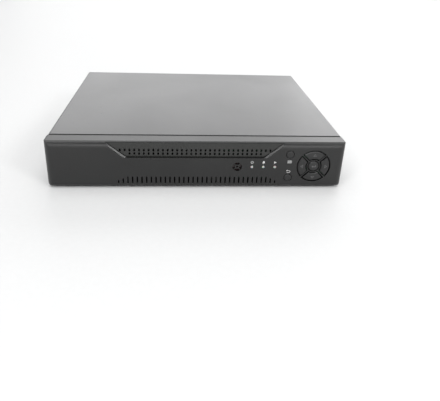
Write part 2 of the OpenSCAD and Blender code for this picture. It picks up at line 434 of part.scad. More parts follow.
module lan_usb_shell() color("#c6c2b4") difference() {
  along_y(ypi - 19, yp + 2) polygon(rr(lan_x - 8.8, lan_z0 + 0.02, lan_x + 8.8, lan_z1, 0.6, 3));
  box(lan_x - 8.4, lan_x + 8.4, ypi - 20, yp + 1.6, lan_z0 - 1, lan_z1 - 0.4);
  lan_openings(0, yp, yp + 3);
  for (s = [-1, 1]) along_y(yp, yp + 3) polygon(rr(lan_x + s * 6.1 - 1.7, lan_z1 - 2.1, lan_x + s * 6.1 + 1.7, lan_z1 - 0.9, 0.2, 2));
}
module lan_usb_insert() color("#191a1b") difference() {
  box(lan_x - 8.35, lan_x + 8.35, ypi - 18.6, yp + 1.55, lan_z0 + 0.05, lan_z1 - 0.45);
  difference() {
    lan_openings(0.05, ypi - 13, yp + 3);
    for (z = usb_z) box(lan_x - 5.6, lan_x + 5.6, ypi - 14, yp + 1.0, z + 2.55, z + 4.35);
  }
}
function d_outline(e) = [[-8.2 + e, 3.9 - e], [8.2 - e, 3.9 - e], [8.45 - e, 3.5 - e], [7.3 - e, -3.5 + e], [6.9 - e, -3.9 + e], [-6.9 + e, -3.9 + e], [-7.3 + e, -3.5 + e], [-8.45 + e, 3.5 - e]];
module vga_shell() color("#c8c5b9") translate([vga_x, 0, vga_z]) difference() {
  union() {
    along_y(ypi - 0.9, yp + 5.6) polygon(d_outline(0));
    along_y(ypi - 0.9, ypi - 0.05) polygon(rr(-14.8, -6.1, 14.8, 6.1, 1, 3));
  }
  along_y(ypi - 2, yp + 6) polygon(d_outline(0.5));
  for (s = [-1, 1]) ycyl(1.55, ypi - 2, ypi + 1, s * 12.5, 0);
}
module vga_insert() color("#2f62c4") translate([vga_x, 0, vga_z]) difference() {
  union() {
    along_y(ypi - 1.2, yp + 5.2) polygon(d_outline(0.56));
    box(-9, 9, ypi - 12, ypi - 1, lan_z0 - vga_z + 12, 5.5);
  }
  for (r = [-1:1]) for (k = [-2:2]) ycyl(0.5, yp, yp + 7, k * 2.29 + (r == 0 ? 1.14 : 0) - (r == 0 ? 0.57 : -0.0), r * 1.98);
}
module vga_jackscrews() color("#d0cdc2") for (s = [-1, 1]) translate([vga_x + s * 12.5, 0, vga_z]) difference() {
  union() {
    translate([0, yp + 0.02, 0]) rotate([-90, 30, 0]) cylinder(r = 2.72, h = 4.9, $fn = 6);
    ycyl(1.4, ypi - 5, yp + 0.3);
  }
  ycyl(1.25, yp - 1.5, yp + 6);
}
module terminal_block() color("#2f9a3c") difference() {
  box(term_x - 4.15, term_x + 4.15, ypi - 9, yp + 1.6, pcb1 + 0.02, zb + 14.8);
  for (s = [-1, 1]) box(term_x + s * 2 - 1.5, term_x + s * 2 + 1.5, yp - 6, yp + 3, zb + 8.5, zb + 13.7);
}
module dc_jack() color("#141516") difference() {
  box(dc_x - 4.9, dc_x + 4.9, ypi - 12.6, yp + 1.5, pcb1 + 0.02, zb + 18.5);
  ycyl(3.15, yp - 9, yp + 2, dc_x, dc_z);
}
module dc_jack_pin() color("#cfcbbf") turned_y(dc_x, yp, dc_z, [[0, -8.98], [1.05, -8.98], [1.05, -0.5], [0.7, 0], [0, 0]]);

// ---- fasteners and feet ----
module cross_recess(top, deep) { for (a = [0, 90]) rotate([0, 0, a]) translate([-1.35, -0.32, top - deep]) cube([2.7, 0.64, deep + 1]); }
module case_screw() difference() {
  rotate_extrude() polygon([[0, -5], [1.45, -5], [1.45, 0], [2.8, 0], [2.8, 0.7], [2.4, 1.35], [1.5, 1.75], [0, 1.9]]);
  cross_recess(1.9, 1.2);
}
module case_screws() color("#2a2a2c") {
  for (s = [-1, 1]) for (y = cover_screw_y) translate([s * (hw + 0.05), y, cover_screw_z]) rotate([0, s * 90, 0]) case_screw();
  difference() {
    turned_y(rsc_x, yp + 0.02, rsc_z, [[0, -7], [1.25, -7], [1.25, 0], [2.7, 0], [2.7, 0.7], [2.3, 1.3], [1.5, 1.6], [0, 1.75]]);
    translate([rsc_x, yp + 0.02, rsc_z]) rotate([-90, 30, 0]) cross_recess(1.75, 1.1);
  }
}
module rubber_feet() color("#1a1a1a") for (p = feet) difference() {
  union() {
    turned_z(p[0], p[1], 0, [[0, 0], [5.6, 0], [6, 0.4], [6.4, foot_h], [0, foot_h]]);
    turned_z(p[0], p[1], foot_h - 0.1, [[0, 0], [1.8, 0], [1.8, sheet + 0.1], [2.6, sheet + 0.12], [2.2, sheet + 1.5], [0, sheet + 1.9]]);
  }
  zcyl(2.2, -1, 0.9, p[0], p[1]);
}

// ---- fan ----
module fan_frame() color("#141516") difference() {
  union() {
    difference() {
      box(fan_x0, fan_x1, fan_y - fan_s / 2, fan_y + fan_s / 2, fan_z - fan_s / 2, fan_z + fan_s / 2);
      xcyl(fan_s / 2 - 1, fan_x0 - 1, fan_x1 + 1, fan_y, fan_z);
    }
    xcyl(7.6, fan_x0, fan_x0 + 1.4, fan_y, fan_z);
    xcyl(2.3, fan_x0, fan_x0 + 6, fan_y, fan_z);
    for (a = [20, 110, 200, 290]) translate([0, fan_y, fan_z]) rotate([a, 0, 0]) box(fan_x0, fan_x0 + 1.4, 6, fan_s / 2 - 0.6, -0.9, 0.9);
  }
  xcyl(1.05, fan_x0 - 1, fan_x1 + 2, fan_y, fan_z);
  for (a = [-12, 12]) for (b = [-12, 12]) xcyl(1.6, fan_x0 - 1, fan_x1 + 1, fan_y + a, fan_z + b);
}
module fan_rotor() color("#17181a") {
  difference() {
    xcyl(7.5, fan_x0 + 1.9, fan_x1 - 0.5, fan_y, fan_z);
    xcyl(6.5, fan_x0 + 1, fan_x1 - 1.7, fan_y, fan_z);
  }
  xcyl(1.0, fan_x0 + 0.5, fan_x1 - 1.2, fan_y, fan_z);
  intersection() {
    difference() { xcyl(fan_s / 2 - 1.6, fan_x0 + 1.9, fan_x1 - 0.6, fan_y, fan_z); xcyl(7.2, fan_x0 + 1, fan_x1, fan_y, fan_z); }
    for (k = [0:blades - 1]) translate([fan_x0 + 5.7, fan_y, fan_z]) rotate([k * 360 / blades, 0, 0]) translate([0, 10.3, 0]) rotate([0, 38, 0]) box(-5.5, 5.5, -3.8, 3.8, -0.45, 0.45);
  }
}

// ---- disk drive ----
module drive_casting() color("#a9acae") difference() {
  along_z(d_z0 + 1.7, d_z1 - 1.2) polygon(rr(d_x0, d_y0, d_x1, d_y1, 1.2, 3));
  difference() {
    union() {
      zcyl(48.6, d_z0 + 9, d_z1, sp_x, sp_y);
      box(sp_x, d_x1 - 8, d_y0 + 4, d_y1 - 4, d_z0 + 9, d_z1);
    }
    zcyl(5, d_z0 + 8, d_z1 - 4, sp_x, sp_y);
    zcyl(3, d_z0 + 8, d_z1 - 4, pv_x, pv_y);
  }
  // socket recess at the connector end, and mounting holes
  box(d_x1 - 6, d_x1 + 1, d_y0 + 8, d_y0 + 60, d_z0 + 1, d_z0 + 7);
  for (p = drive_holes) zcyl(1.6, d_z0 - 1, d_z0 + 7, p[0], p[1]);
}
module drive_lid() color("#c6c8ca") difference() {
  union() {
    along_z(d_z1 - 1.18, d_z1 - 0.4) polygon(rr(d_x0 + 1.2, d_y0 + 1.2, d_x1 - 1.2, d_y1 - 1.2, 4, 4));
    along_z(d_z1 - 0.6, d_z1) polygon(rr(d_x0 + 9, d_y0 + 7, d_x1 - 9, d_y1 - 7, 8, 5));
  }
  zcyl(12, d_z1 - 0.35, d_z1 + 1, sp_x, sp_y);
  for (p = [[d_x0 + 5, d_y0 + 5], [d_x0 + 5, d_y1 - 5], [d_x1 - 5, d_y0 + 5], [d_x1 - 5, d_y1 - 5], [pv_x + 34, d_y1 - 3.4], [pv_x, d_y0 + 3.4]]) zcyl(1.1, d_z1 - 0.9, d_z1 + 1, p[0], p[1]);
}
module drive_platter() color("#dfe2e4") difference() {
  union() { zcyl(47.5, d_z0 + 16, d_z0 + 17.3, sp_x, sp_y); zcyl(12.5, d_z0 + 12, d_z0 + 19, sp_x, sp_y); }
  zcyl(5.06, d_z0 + 11, d_z0 + 20, sp_x, sp_y);
}
park = atan2(sp_y - pv_y, sp_x - pv_x) + 20;
module drive_arm() color("#b9bcc0") difference() {
  union() {
    zcyl(6.5, d_z0 + 12, d_z0 + 20, pv_x, pv_y);
    translate([pv_x, pv_y, 0]) rotate([0, 0, park]) {
      along_z(d_z0 + 18.2, d_z0 + 19.4) polygon([[-18, -9], [-18, 9], [0, 6], [30, 3.4], [51, 1.2], [52, 0], [51, -1.2], [30, -3.4], [0, -6]]);
    }
  }
  zcyl(3.06, d_z0 + 11, d_z0 + 21, pv_x, pv_y);
}
module drive_board() color("#1e4f36") {
  difference() {
    along_z(d_z0 + 0.1, d_z0 + 1.3) polygon(rr(d_x0 + 30, d_y0 + 8, d_x1 - 1, d_y1 - 8, 2, 3));
    for (p = drive_holes) zcyl(4.4, d_z0 - 1, d_z0 + 3, p[0], p[1]);
  }
  box(d_x1 - 5.5, d_x1 - 0.2, d_y0 + 10, d_y0 + 57, d_z0 + 1.32, d_z0 + 6.4);
}
// ---- leads inside the case, held at both ends ----
data_route = [[d_x1 + 10, d_y0 + 48, 9.6], [d_x1 + 16, d_y0 + 48, 10.6], [d_x1 + 22, d_y0 + 54, 22], [d_x1 + 16, d_y0 + 74, 35], [d_x1 - 6, d_y0 + 92, 37.5], [-30, d_y0 + 100, 38], [-50, board_y0 + 4, 34], [-54, board_y0 + 6.1, 27]];
power_route = [[d_x1 + 10, d_y0 + 24, 9.6], [d_x1 + 19, d_y0 + 25.5, 10.5], [d_x1 + 30, d_y0 + 44, 14], [d_x1 + 32, d_y0 + 70, 20], [d_x1 + 22, d_y0 + 94, 28], [d_x1 + 2, board_y0 - 0.5, 34], [6, board_y0 + 1, 35], [-12, board_y0 + 3.4, 32], [-19, board_y0 + 5.2, 24]];
ribbon_route = [[99, ys - 0.9, zb + 12], [99, ys + 6, zb + 12], [99, ys + 26, zb + 8], [100, ys + 60, zb + 9], [100, board_y0 - 14, zb + 20], [100, board_y0 - 2, zb + 24], [100, board_y0 + 5.6, zb + 19]];
module drive_data_cable() color("#a3121a") {
  box(d_x1 - 0.1, d_x1 + 10, d_y0 + 41.5, d_y0 + 54.5, 6.8, 12.3);
  box(-60.1, -47.9, board_y0 + 4.7, board_y0 + 7.5, pcb1 + 2.1, 27);
  sweep(data_route, 7, 1.8);
}
module drive_power_cable() color("#1c1c1e") {
  box(d_x1 - 0.1, d_x1 + 10, d_y0 + 13, d_y0 + 36, 6.8, 12.3);
  box(-25.1, -13.9, board_y0 + 3.3, board_y0 + 7.3, pcb1 + 1.3, 24);
  sweep(power_route, 7, 2.2);
}
module panel_ribbon() color("#b9b7ae") {
  box(91.5, 106.5, key_y + 1.22, ys - 0.8, zb + 9.5, zb + 14.5);
  box(92.9, 107.1, board_y0 + 3.9, board_y0 + 7.9, pcb1 + 1.3, zb + 19.5);
  sweep(ribbon_route, 11, 1.6);
}

chassis_tray();
rear_panel();
rear_label();
top_cover();
front_bezel();
grille_insert();
status_light_pipes();
ir_window();
menu_button();
esc_button();
up_button();
down_button();
left_button();
right_button();
enter_button();
key_board();
tact_switches();
key_board_leds();
ir_receiver();
main_board();
heat_sink();
board_chips();
power_inductors();
capacitors();
coin_cell();
coin_cell_holder();
buzzer();
board_headers();
bnc_housings();
bnc_shells();
bnc_insulators();
bnc_contacts();
rca_housings();
rca_shells();
rca_insulators_white();
rca_insulator_red();
hdmi_shell();
hdmi_tongue();
lan_usb_shell();
lan_usb_insert();
vga_shell();
vga_insert();
vga_jackscrews();
terminal_block();
dc_jack();
dc_jack_pin();
rubber_feet();
case_screws();
board_screws();
board_standoffs();
fan_frame();
fan_rotor();
drive_casting();
drive_lid();
drive_platter();
drive_arm();
drive_board();
drive_data_cable();
drive_power_cable();
panel_ribbon();
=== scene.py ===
"""Looks of a sixteen-channel video recorder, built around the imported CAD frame."""

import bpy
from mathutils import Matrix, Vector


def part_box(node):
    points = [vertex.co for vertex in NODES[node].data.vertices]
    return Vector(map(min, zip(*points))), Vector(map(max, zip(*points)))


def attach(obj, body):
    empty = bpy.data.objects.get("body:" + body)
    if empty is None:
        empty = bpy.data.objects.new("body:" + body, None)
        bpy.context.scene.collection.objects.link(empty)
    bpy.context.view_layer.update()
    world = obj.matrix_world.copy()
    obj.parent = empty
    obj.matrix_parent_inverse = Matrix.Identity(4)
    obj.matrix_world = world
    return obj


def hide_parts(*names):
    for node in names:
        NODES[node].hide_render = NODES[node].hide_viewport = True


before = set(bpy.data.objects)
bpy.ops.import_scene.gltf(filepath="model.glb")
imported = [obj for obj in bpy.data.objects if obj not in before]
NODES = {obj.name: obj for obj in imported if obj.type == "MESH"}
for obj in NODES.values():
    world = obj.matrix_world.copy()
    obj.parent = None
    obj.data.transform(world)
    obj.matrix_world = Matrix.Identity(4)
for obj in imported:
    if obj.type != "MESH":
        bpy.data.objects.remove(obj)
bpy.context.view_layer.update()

import math
import random

import bpy
import bmesh
from mathutils import Matrix, Vector

MM = 0.001


def lohi(node):
    """A CAD node's corners in millimetres."""
    lo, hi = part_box(node)
    return [c / MM for c in lo], [c / MM for c in hi]


# ---------------------------------------------------------------- places, all read from the frame
bez_lo, bez_hi = lohi("front_bezel")
cov_lo, cov_hi = lohi("top_cover")
lab_lo, lab_hi = lohi("rear_label")
YF, YS, YR, YP = bez_lo[1], bez_hi[1], cov_hi[1], lab_hi[1]
ZB, ZT = bez_lo[2], bez_hi[2]
pad = [(a + b) / 2 for a, b in zip(*lohi("enter_button"))]
menu = [(a + b) / 2 for a, b in zip(*lohi("menu_button"))]
esc = [(a + b) / 2 for a, b in zip(*lohi("esc_button"))]
CROWN = YF - lohi("enter_button")[0][1]
pipe_lo, pipe_hi = lohi("status_light_pipes")
LED_Z = (pipe_lo[2] + pipe_hi[2]) / 2
LED_X = [pipe_lo[0] + 1.9, (pipe_lo[0] + pipe_hi[0]) / 2, pipe_hi[0] - 1.9]
pcb_lo, pcb_hi = lohi("main_board")
PCB = pcb_hi[2]
BX0, BX1, BY0, BY1 = pcb_lo[0], pcb_hi[0], pcb_lo[1], pcb_hi[1]
drv_lo, drv_hi = lohi("drive_casting")
lid_lo, lid_hi = lohi("drive_lid")
DB = lohi("drive_board")[0][2]
lan_lo, lan_hi = lohi("lan_usb_shell")
LAN_X = (lan_lo[0] + lan_hi[0]) / 2
hdmi = [(a + b) / 2 for a, b in zip(*lohi("hdmi_shell"))]
vga = [(a + b) / 2 for a, b in zip(*lohi("vga_shell"))]
term_lo, term_hi = lohi("terminal_block")
dc = [(a + b) / 2 for a, b in zip(*lohi("dc_jack_pin"))]
rca_lo, rca_hi = lohi("rca_insulator_red")
RCA_X = (rca_lo[0] + rca_hi[0]) / 2
bnc_lo, bnc_hi = lohi("bnc_shells")
BNC_X = [bnc_lo[0] + 6.35 + k * 18.8 for k in range(8)]
BNC_Z = [bnc_lo[2] + 6.35, bnc_hi[2] - 6.35]


# ---------------------------------------------------------------- node helpers
class Mat:
    """A node material under construction."""

    def __init__(self, name):
        self.mat = bpy.data.materials.new(name)
        self.mat.use_nodes = True
        self.nt = self.mat.node_tree
        self.nt.nodes.clear()
        self.out = self.nt.nodes.new("ShaderNodeOutputMaterial")
        self.bsdf = self.nt.nodes.new("ShaderNodeBsdfPrincipled")
        self.nt.links.new(self.bsdf.outputs[0], self.out.inputs[0])
        self.co = self.nt.nodes.new("ShaderNodeTexCoord").outputs["Object"]
        self.geo = self.nt.nodes.new("ShaderNodeNewGeometry")

    def node(self, kind, **kw):
        n = self.nt.nodes.new(kind)
        for k, v in kw.items():
            setattr(n, k, v)
        return n

    def put(self, socket, value):
        if hasattr(value, "is_output") or isinstance(value, bpy.types.NodeSocket):
            self.nt.links.new(value, socket)
        else:
            socket.default_value = value

    def set(self, **kw):
        names = dict(color="Base Color", metal="Metallic", rough="Roughness", ior="IOR", spec="Specular IOR Level", coat="Coat Weight",
                     coat_rough="Coat Roughness", normal="Normal", sss="Subsurface Weight", sss_scale="Subsurface Scale", trans="Transmission Weight",
                     sheen="Sheen Weight", aniso="Anisotropic", alpha="Alpha", emit="Emission Strength", emit_color="Emission Color")
        for k, v in kw.items():
            s = self.bsdf.inputs[names[k]]
            if isinstance(v, (tuple, list)) and len(v) == 3 and s.type == "RGBA":
                v = (*v, 1.0)
            self.put(s, v)
        return self

    def mapped(self, scale=(1, 1, 1), rotation=(0, 0, 0)):
        m = self.node("ShaderNodeMapping")
        self.put(m.inputs[0], self.co)
        m.inputs["Scale"].default_value = scale
        m.inputs["Rotation"].default_value = rotation
        return m.outputs[0]

    def noise(self, scale, detail=3.0, rough=0.5, vector=None, distortion=0.0):
        n = self.node("ShaderNodeTexNoise")
        self.put(n.inputs["Vector"], vector if vector is not None else self.co)
        n.inputs["Scale"].default_value = scale
        n.inputs["Detail"].default_value = detail
        n.inputs["Roughness"].default_value = rough
        n.inputs["Distortion"].default_value = distortion
        return n.outputs[0]

    def voronoi(self, scale, feature="F1", vector=None, randomness=1.0):
        n = self.node("ShaderNodeTexVoronoi", feature=feature)
        self.put(n.inputs["Vector"], vector if vector is not None else self.co)
        n.inputs["Scale"].default_value = scale
        n.inputs["Randomness"].default_value = randomness
        return n.outputs[0]

    def wave(self, scale, direction="X", bands="BANDS", distortion=0.0, vector=None):
        n = self.node("ShaderNodeTexWave", wave_type=bands)
        if bands == "BANDS":
            n.bands_direction = direction
        else:
            n.rings_direction = direction
        self.put(n.inputs["Vector"], vector if vector is not None else self.co)
        n.inputs["Scale"].default_value = scale
        n.inputs["Distortion"].default_value = distortion
        return n.outputs[1]

    def ramp(self, fac, stops, interpolation="LINEAR"):
        n = self.node("ShaderNodeValToRGB")
        n.color_ramp.interpolation = interpolation
        while len(n.color_ramp.elements) < len(stops):
            n.color_ramp.elements.new(0.5)
        for e, (pos, col) in zip(n.color_ramp.elements, stops):
            e.position = pos
            e.color = (*col, 1.0) if isinstance(col, tuple) else (col, col, col, 1.0)
        self.put(n.inputs[0], fac)
        return n.outputs[0]

    def span(self, fac, a, b, lo=0.0, hi=1.0):
        n = self.node("ShaderNodeMapRange")
        self.put(n.inputs["Value"], fac)
        n.inputs["From Min"].default_value = lo
        n.inputs["From Max"].default_value = hi
        n.inputs["To Min"].default_value = a
        n.inputs["To Max"].default_value = b
        return n.outputs[0]

    def math(self, op, a, b=0.0, clamp=False):
        n = self.node("ShaderNodeMath", operation=op, use_clamp=clamp)
        self.put(n.inputs[0], a)
        if len(n.inputs) > 1:
            self.put(n.inputs[1], b)
        return n.outputs[0]

    def mix(self, fac, a, b):
        n = self.node("ShaderNodeMix", data_type="RGBA")
        self.put(n.inputs[0], fac)
        for s, v in ((n.inputs[6], a), (n.inputs[7], b)):
            self.put(s, (*v, 1.0) if isinstance(v, tuple) and len(v) == 3 else v)
        return n.outputs[2]

    def xyz(self, vector=None):
        n = self.node("ShaderNodeSeparateXYZ")
        self.put(n.inputs[0], vector if vector is not None else self.co)
        return n.outputs

    def bump(self, height, strength, distance, normal=None):
        n = self.node("ShaderNodeBump")
        n.inputs["Strength"].default_value = strength
        n.inputs["Distance"].default_value = distance
        self.put(n.inputs["Height"], height)
        if normal is not None:
            self.put(n.inputs["Normal"], normal)
        return n.outputs[0]

    def soft_edge(self, radius):
        n = self.node("ShaderNodeBevel", samples=4)
        n.inputs["Radius"].default_value = radius
        return n.outputs[0]

    def edge_mask(self, radius, lo=0.04, hi=0.35):
        """1 on convex and concave edges, 0 on flats."""
        b = self.node("ShaderNodeBevel", samples=4)
        b.inputs["Radius"].default_value = radius
        d = self.node("ShaderNodeVectorMath", operation="DOT_PRODUCT")
        self.put(d.inputs[0], b.outputs[0])
        self.put(d.inputs[1], self.geo.outputs["Normal"])
        return self.span(self.math("SUBTRACT", 1.0, d.outputs["Value"], True), 0.0, 1.0, lo, hi)


def powder_coat():
    """Black satin powder coat: fine orange peel, faint handling haze, polished rims."""
    m = Mat("powder_coat_black")
    peel = m.noise(1500, 2.0, 0.55)
    grit = m.noise(5200, 1.0, 0.5)
    haze = m.noise(9, 4.0, 0.6, distortion=0.6)
    scuff = m.ramp(m.noise(60, 6.0, 0.72, m.mapped((1, 7, 1), (0, 0, 0.4))), [(0.60, 0.0), (0.72, 1.0)])
    edge = m.math("MULTIPLY", m.edge_mask(0.0007), m.noise(420, 3.0))
    base = m.mix(m.span(haze, 0.0, 1.0, 0.3, 0.7), (0.026, 0.0262, 0.027), (0.034, 0.0341, 0.0345))
    base = m.mix(m.math("MULTIPLY", edge, 0.3, True), base, (0.075, 0.075, 0.077))
    rough = m.math("ADD", m.span(haze, 0.29, 0.36, 0.3, 0.7), m.span(grit, -0.03, 0.03))
    rough = m.math("SUBTRACT", rough, m.math("MULTIPLY", scuff, 0.05))
    n = m.bump(peel, 0.16, 0.00010, m.soft_edge(0.0003))
    n = m.bump(grit, 0.10, 0.00003, n)
    return m.set(color=base, rough=rough, normal=n, ior=1.5, spec=0.5).mat


def moulded(name, dark, light, rough=0.45, grain=2600, depth=0.00003, gloss=0.5, radius=0.0002, wear=0.35, worn=None, shade_depth=None, shade_field=None):
    """Injection-moulded plastic with a spark-eroded grain and rubbed edges; the optional depth range darkens grooves
    and recesses behind the face as painted shade and roughens them, within an optional box.
    """
    m = Mat(name)
    cells = m.voronoi(grain, "SMOOTH_F1")
    fine = m.noise(grain * 1.9, 2.0, 0.6)
    cloud = m.noise(14, 4.0, 0.55, distortion=0.3)
    rub = m.math("MULTIPLY", m.edge_mask(radius * 2.2), m.span(m.noise(300, 3.0), 0.2, 1.0, 0.35, 0.7))
    base = m.mix(m.span(cloud, 0.0, 1.0, 0.3, 0.7), dark, light)
    base = m.mix(m.math("MULTIPLY", rub, wear, True), base, worn or tuple(min(1.0, c * 2.1 + 0.02) for c in light))
    r = m.math("ADD", m.span(fine, rough - 0.05, rough + 0.05), m.span(cloud, -0.03, 0.03, 0.3, 0.7))
    r = m.math("SUBTRACT", r, m.math("MULTIPLY", rub, 0.08))
    # painted shade: the base colour darkens with depth into grooves and recesses, inside the optional box
    if shade_depth:
        x, y, z = m.xyz()
        deep = m.ramp(m.span(y, 0.0, 1.0, shade_depth[0] * MM, shade_depth[1] * MM), [(0.0, 0.0), (1.0, 1.0)])
        if shade_field:
            deep = m.math("MULTIPLY", deep, m.math("LESS_THAN", m.math("ABSOLUTE", x), shade_field[0] * MM))
            deep = m.math("MULTIPLY", deep, m.math("MULTIPLY", m.math("GREATER_THAN", z, shade_field[1] * MM), m.math("LESS_THAN", z, shade_field[2] * MM)))
        base = m.mix(m.math("MULTIPLY", deep, 0.9), base, tuple(c * 0.12 for c in dark))
        r = m.math("ADD", r, m.math("MULTIPLY", deep, 0.3), True)
    n = m.bump(cells, 0.22, depth, m.soft_edge(radius))
    n = m.bump(fine, 0.15, depth * 0.6, n)
    return m.set(color=base, rough=r, normal=n, spec=gloss).mat


def plated(name, color, rough=0.2, scale=900, turned=None, tarnish=0.25, radius=0.00012, dull=(0.42, 0.36, 0.27), patchy=1.0, barrel_shade=None):
    """Plated or bare metal with fine scratches, a trace of tarnish and softened edges."""
    m = Mat(name)
    fine = m.noise(scale, 4.0, 0.6)
    patch = m.noise(160, 4.0, 0.6, distortion=0.5)
    lines = m.noise(scale, 2.0, 0.6, m.mapped(turned)) if turned else m.noise(scale * 2.3, 2.0)
    base = m.mix(m.math("MULTIPLY", m.span(patch, 0.0, 1.0, 0.45, 0.75), tarnish, True), color, dull)
    edge = m.edge_mask(radius * 2.5)
    base = m.mix(m.math("MULTIPLY", edge, 0.35, True), base, tuple(min(1.0, c * 1.2) for c in color))
    r = m.math("ADD", m.span(fine, rough - 0.06, rough + 0.08), m.span(patch, -0.03 * patchy, 0.07 * patchy, 0.35, 0.75))
    if barrel_shade:      # painted shade: darker colour and more roughness inside each barrel and in the groove round its foot
        x0, xp, z0, zp, y1, y2 = (v * MM for v in barrel_shade)
        x, y, z = m.xyz()
        u, v = m.math("PINGPONG", m.math("SUBTRACT", x, x0), xp / 2), m.math("PINGPONG", m.math("SUBTRACT", z, z0), zp / 2)
        away = m.math("SQRT", m.math("ADD", m.math("MULTIPLY", u, u), m.math("MULTIPLY", v, v)))
        bore = m.math("MULTIPLY", m.math("LESS_THAN", away, 4.12 * MM), m.span(y, 1.0, 0.0, y2 - 1.2 * MM, y2 - 0.2 * MM))
        foot = m.math("MULTIPLY", m.math("MULTIPLY", m.math("GREATER_THAN", away, 4.9 * MM), m.math("LESS_THAN", away, 5.82 * MM)), m.math("LESS_THAN", y, y1 + 1.3 * MM))
        shade_in_barrels = m.math("ADD", bore, foot, True)
        # painted shade mixed into the metal colour
        base = m.mix(m.math("MULTIPLY", shade_in_barrels, 0.86), base, (0.075, 0.072, 0.066))
        r = m.math("ADD", r, m.math("MULTIPLY", shade_in_barrels, 0.22), True)
    n = m.bump(lines, 0.12, 0.00003, m.soft_edge(radius))
    return m.set(color=base, rough=r, metal=1.0, normal=n).mat


def label_film():
    """Matt printed polycarbonate film over the steel rear panel."""
    m = Mat("label_film_silver")
    x, y, z = m.xyz()
    grain = m.noise(7000, 2.0, 0.6)
    sweep = m.noise(18, 3.0, 0.5, m.mapped((1, 1, 0.35)))
    wavy = m.noise(46, 2.0)
    base = m.mix(m.span(sweep, 0.0, 1.0, 0.3, 0.7), (0.345, 0.405, 0.44), (0.41, 0.465, 0.495))
    base = m.mix(m.span(grain, 0.0, 0.22, 0.35, 0.7), base, (0.55, 0.60, 0.62))
    n = m.bump(grain, 0.15, 0.00002, m.soft_edge(0.00015))
    n = m.bump(wavy, 0.25, 0.0002, n)
    return m.set(color=base, rough=m.span(grain, 0.34, 0.46), normal=n, spec=0.5).mat


def circuit(name, deep, trace, pad_col=(0.75, 0.72, 0.6)):
    """Solder mask over copper tracks, with plated via holes and silk-screen dots."""
    m = Mat(name)
    brick = m.node("ShaderNodeTexBrick", offset=0.37, squash=0.6, squash_frequency=3)
    m.put(brick.inputs["Vector"], m.mapped((1, 1, 1)))
    brick.inputs["Scale"].default_value = 95
    brick.inputs["Mortar Size"].default_value = 0.09
    brick.inputs["Brick Width"].default_value = 0.9
    brick.inputs["Row Height"].default_value = 0.16
    tracks = m.ramp(brick.outputs["Fac"], [(0.3, 0.0), (0.6, 1.0)])
    across = m.node("ShaderNodeTexBrick", offset=0.63, squash=1.4, squash_frequency=2)
    m.put(across.inputs["Vector"], m.mapped((1, 1, 1), (0, 0, math.pi / 2)))
    across.inputs["Scale"].default_value = 70
    across.inputs["Mortar Size"].default_value = 0.07
    across.inputs["Brick Width"].default_value = 1.3
    across.inputs["Row Height"].default_value = 0.2
    zone = m.ramp(m.noise(38, 1.0), [(0.47, 0.0), (0.50, 1.0)])
    copper = m.math("MULTIPLY", m.mix(zone, tracks, m.ramp(across.outputs["Fac"], [(0.3, 0.0), (0.6, 1.0)])), 1.0, True)
    via = m.ramp(m.voronoi(330, "F1", randomness=0.85), [(0.10, 1.0), (0.14, 0.0)])
    base = m.mix(copper, deep, trace)
    base = m.mix(via, base, pad_col)
    cloud = m.noise(30, 3.0)
    n = m.bump(copper, 0.25, 0.00004, m.soft_edge(0.0001))
    return m.set(color=base, rough=m.span(cloud, 0.25, 0.38, 0.3, 0.7), normal=n, spec=0.55).mat


def clear_plastic(name, color, rough=0.18, emit=0.0):
    m = Mat(name)
    cloud = m.noise(900, 3.0, 0.6)
    base = m.mix(m.span(cloud, 0.0, 1.0, 0.3, 0.7), color, tuple(min(1.0, c * 1.08) for c in color))
    m.set(color=base, rough=m.span(cloud, rough - 0.05, rough + 0.08), sss=0.6, sss_scale=0.0008, spec=0.6,
          normal=m.bump(cloud, 0.08, 0.00002, m.soft_edge(0.0001)))
    # emission on a part that is no lamp: a painted glow
    if emit:
        m.set(emit=emit, emit_color=(*color, 1.0))
    return m.mat


def rubber(name, color, scale=1800, rough=0.7):
    m = Mat(name)
    a, b = m.noise(scale, 3.0, 0.6), m.noise(60, 4.0, 0.6)
    base = m.mix(m.span(b, 0.0, 1.0, 0.3, 0.7), color, tuple(c * 1.5 + 0.004 for c in color))
    dust = m.ramp(m.noise(140, 5.0, 0.7), [(0.55, 0.0), (0.75, 0.35)])
    base = m.mix(dust, base, (0.16, 0.155, 0.145))
    return m.set(color=base, rough=m.span(a, rough - 0.08, rough + 0.1), spec=0.35, normal=m.bump(a, 0.25, 0.00008, m.soft_edge(0.0003))).mat


def can_material():
    """Electrolytic capacitors: printed sleeve with a bare scored aluminium top."""
    m = Mat("capacitor_can")
    nz = m.xyz(m.geo.outputs["Normal"])[2]
    top = m.ramp(nz, [(0.80, 0.0), (0.90, 1.0)])
    fine = m.noise(2500, 3.0)
    band = m.ramp(m.noise(90, 1.0), [(0.49, 0.0), (0.51, 1.0)])
    sleeve = m.mix(band, (0.016, 0.019, 0.03), (0.028, 0.03, 0.042))
    return m.set(color=m.mix(top, sleeve, (0.66, 0.67, 0.68)), metal=top, rough=m.span(fine, 0.24, 0.42), normal=m.bump(fine, 0.1, 0.00003, m.soft_edge(0.0002))).mat


def ink(name, color, rough=0.5):
    m = Mat(name)
    speck = m.noise(6000, 3.0, 0.65)
    base = m.mix(m.span(speck, 0.0, 1.0, 0.35, 0.7), color, tuple(min(1.0, c * 1.18 + 0.003) for c in color))
    return m.set(color=base, rough=m.span(speck, rough - 0.07, rough + 0.08), normal=m.bump(speck, 0.12, 0.00001)).mat


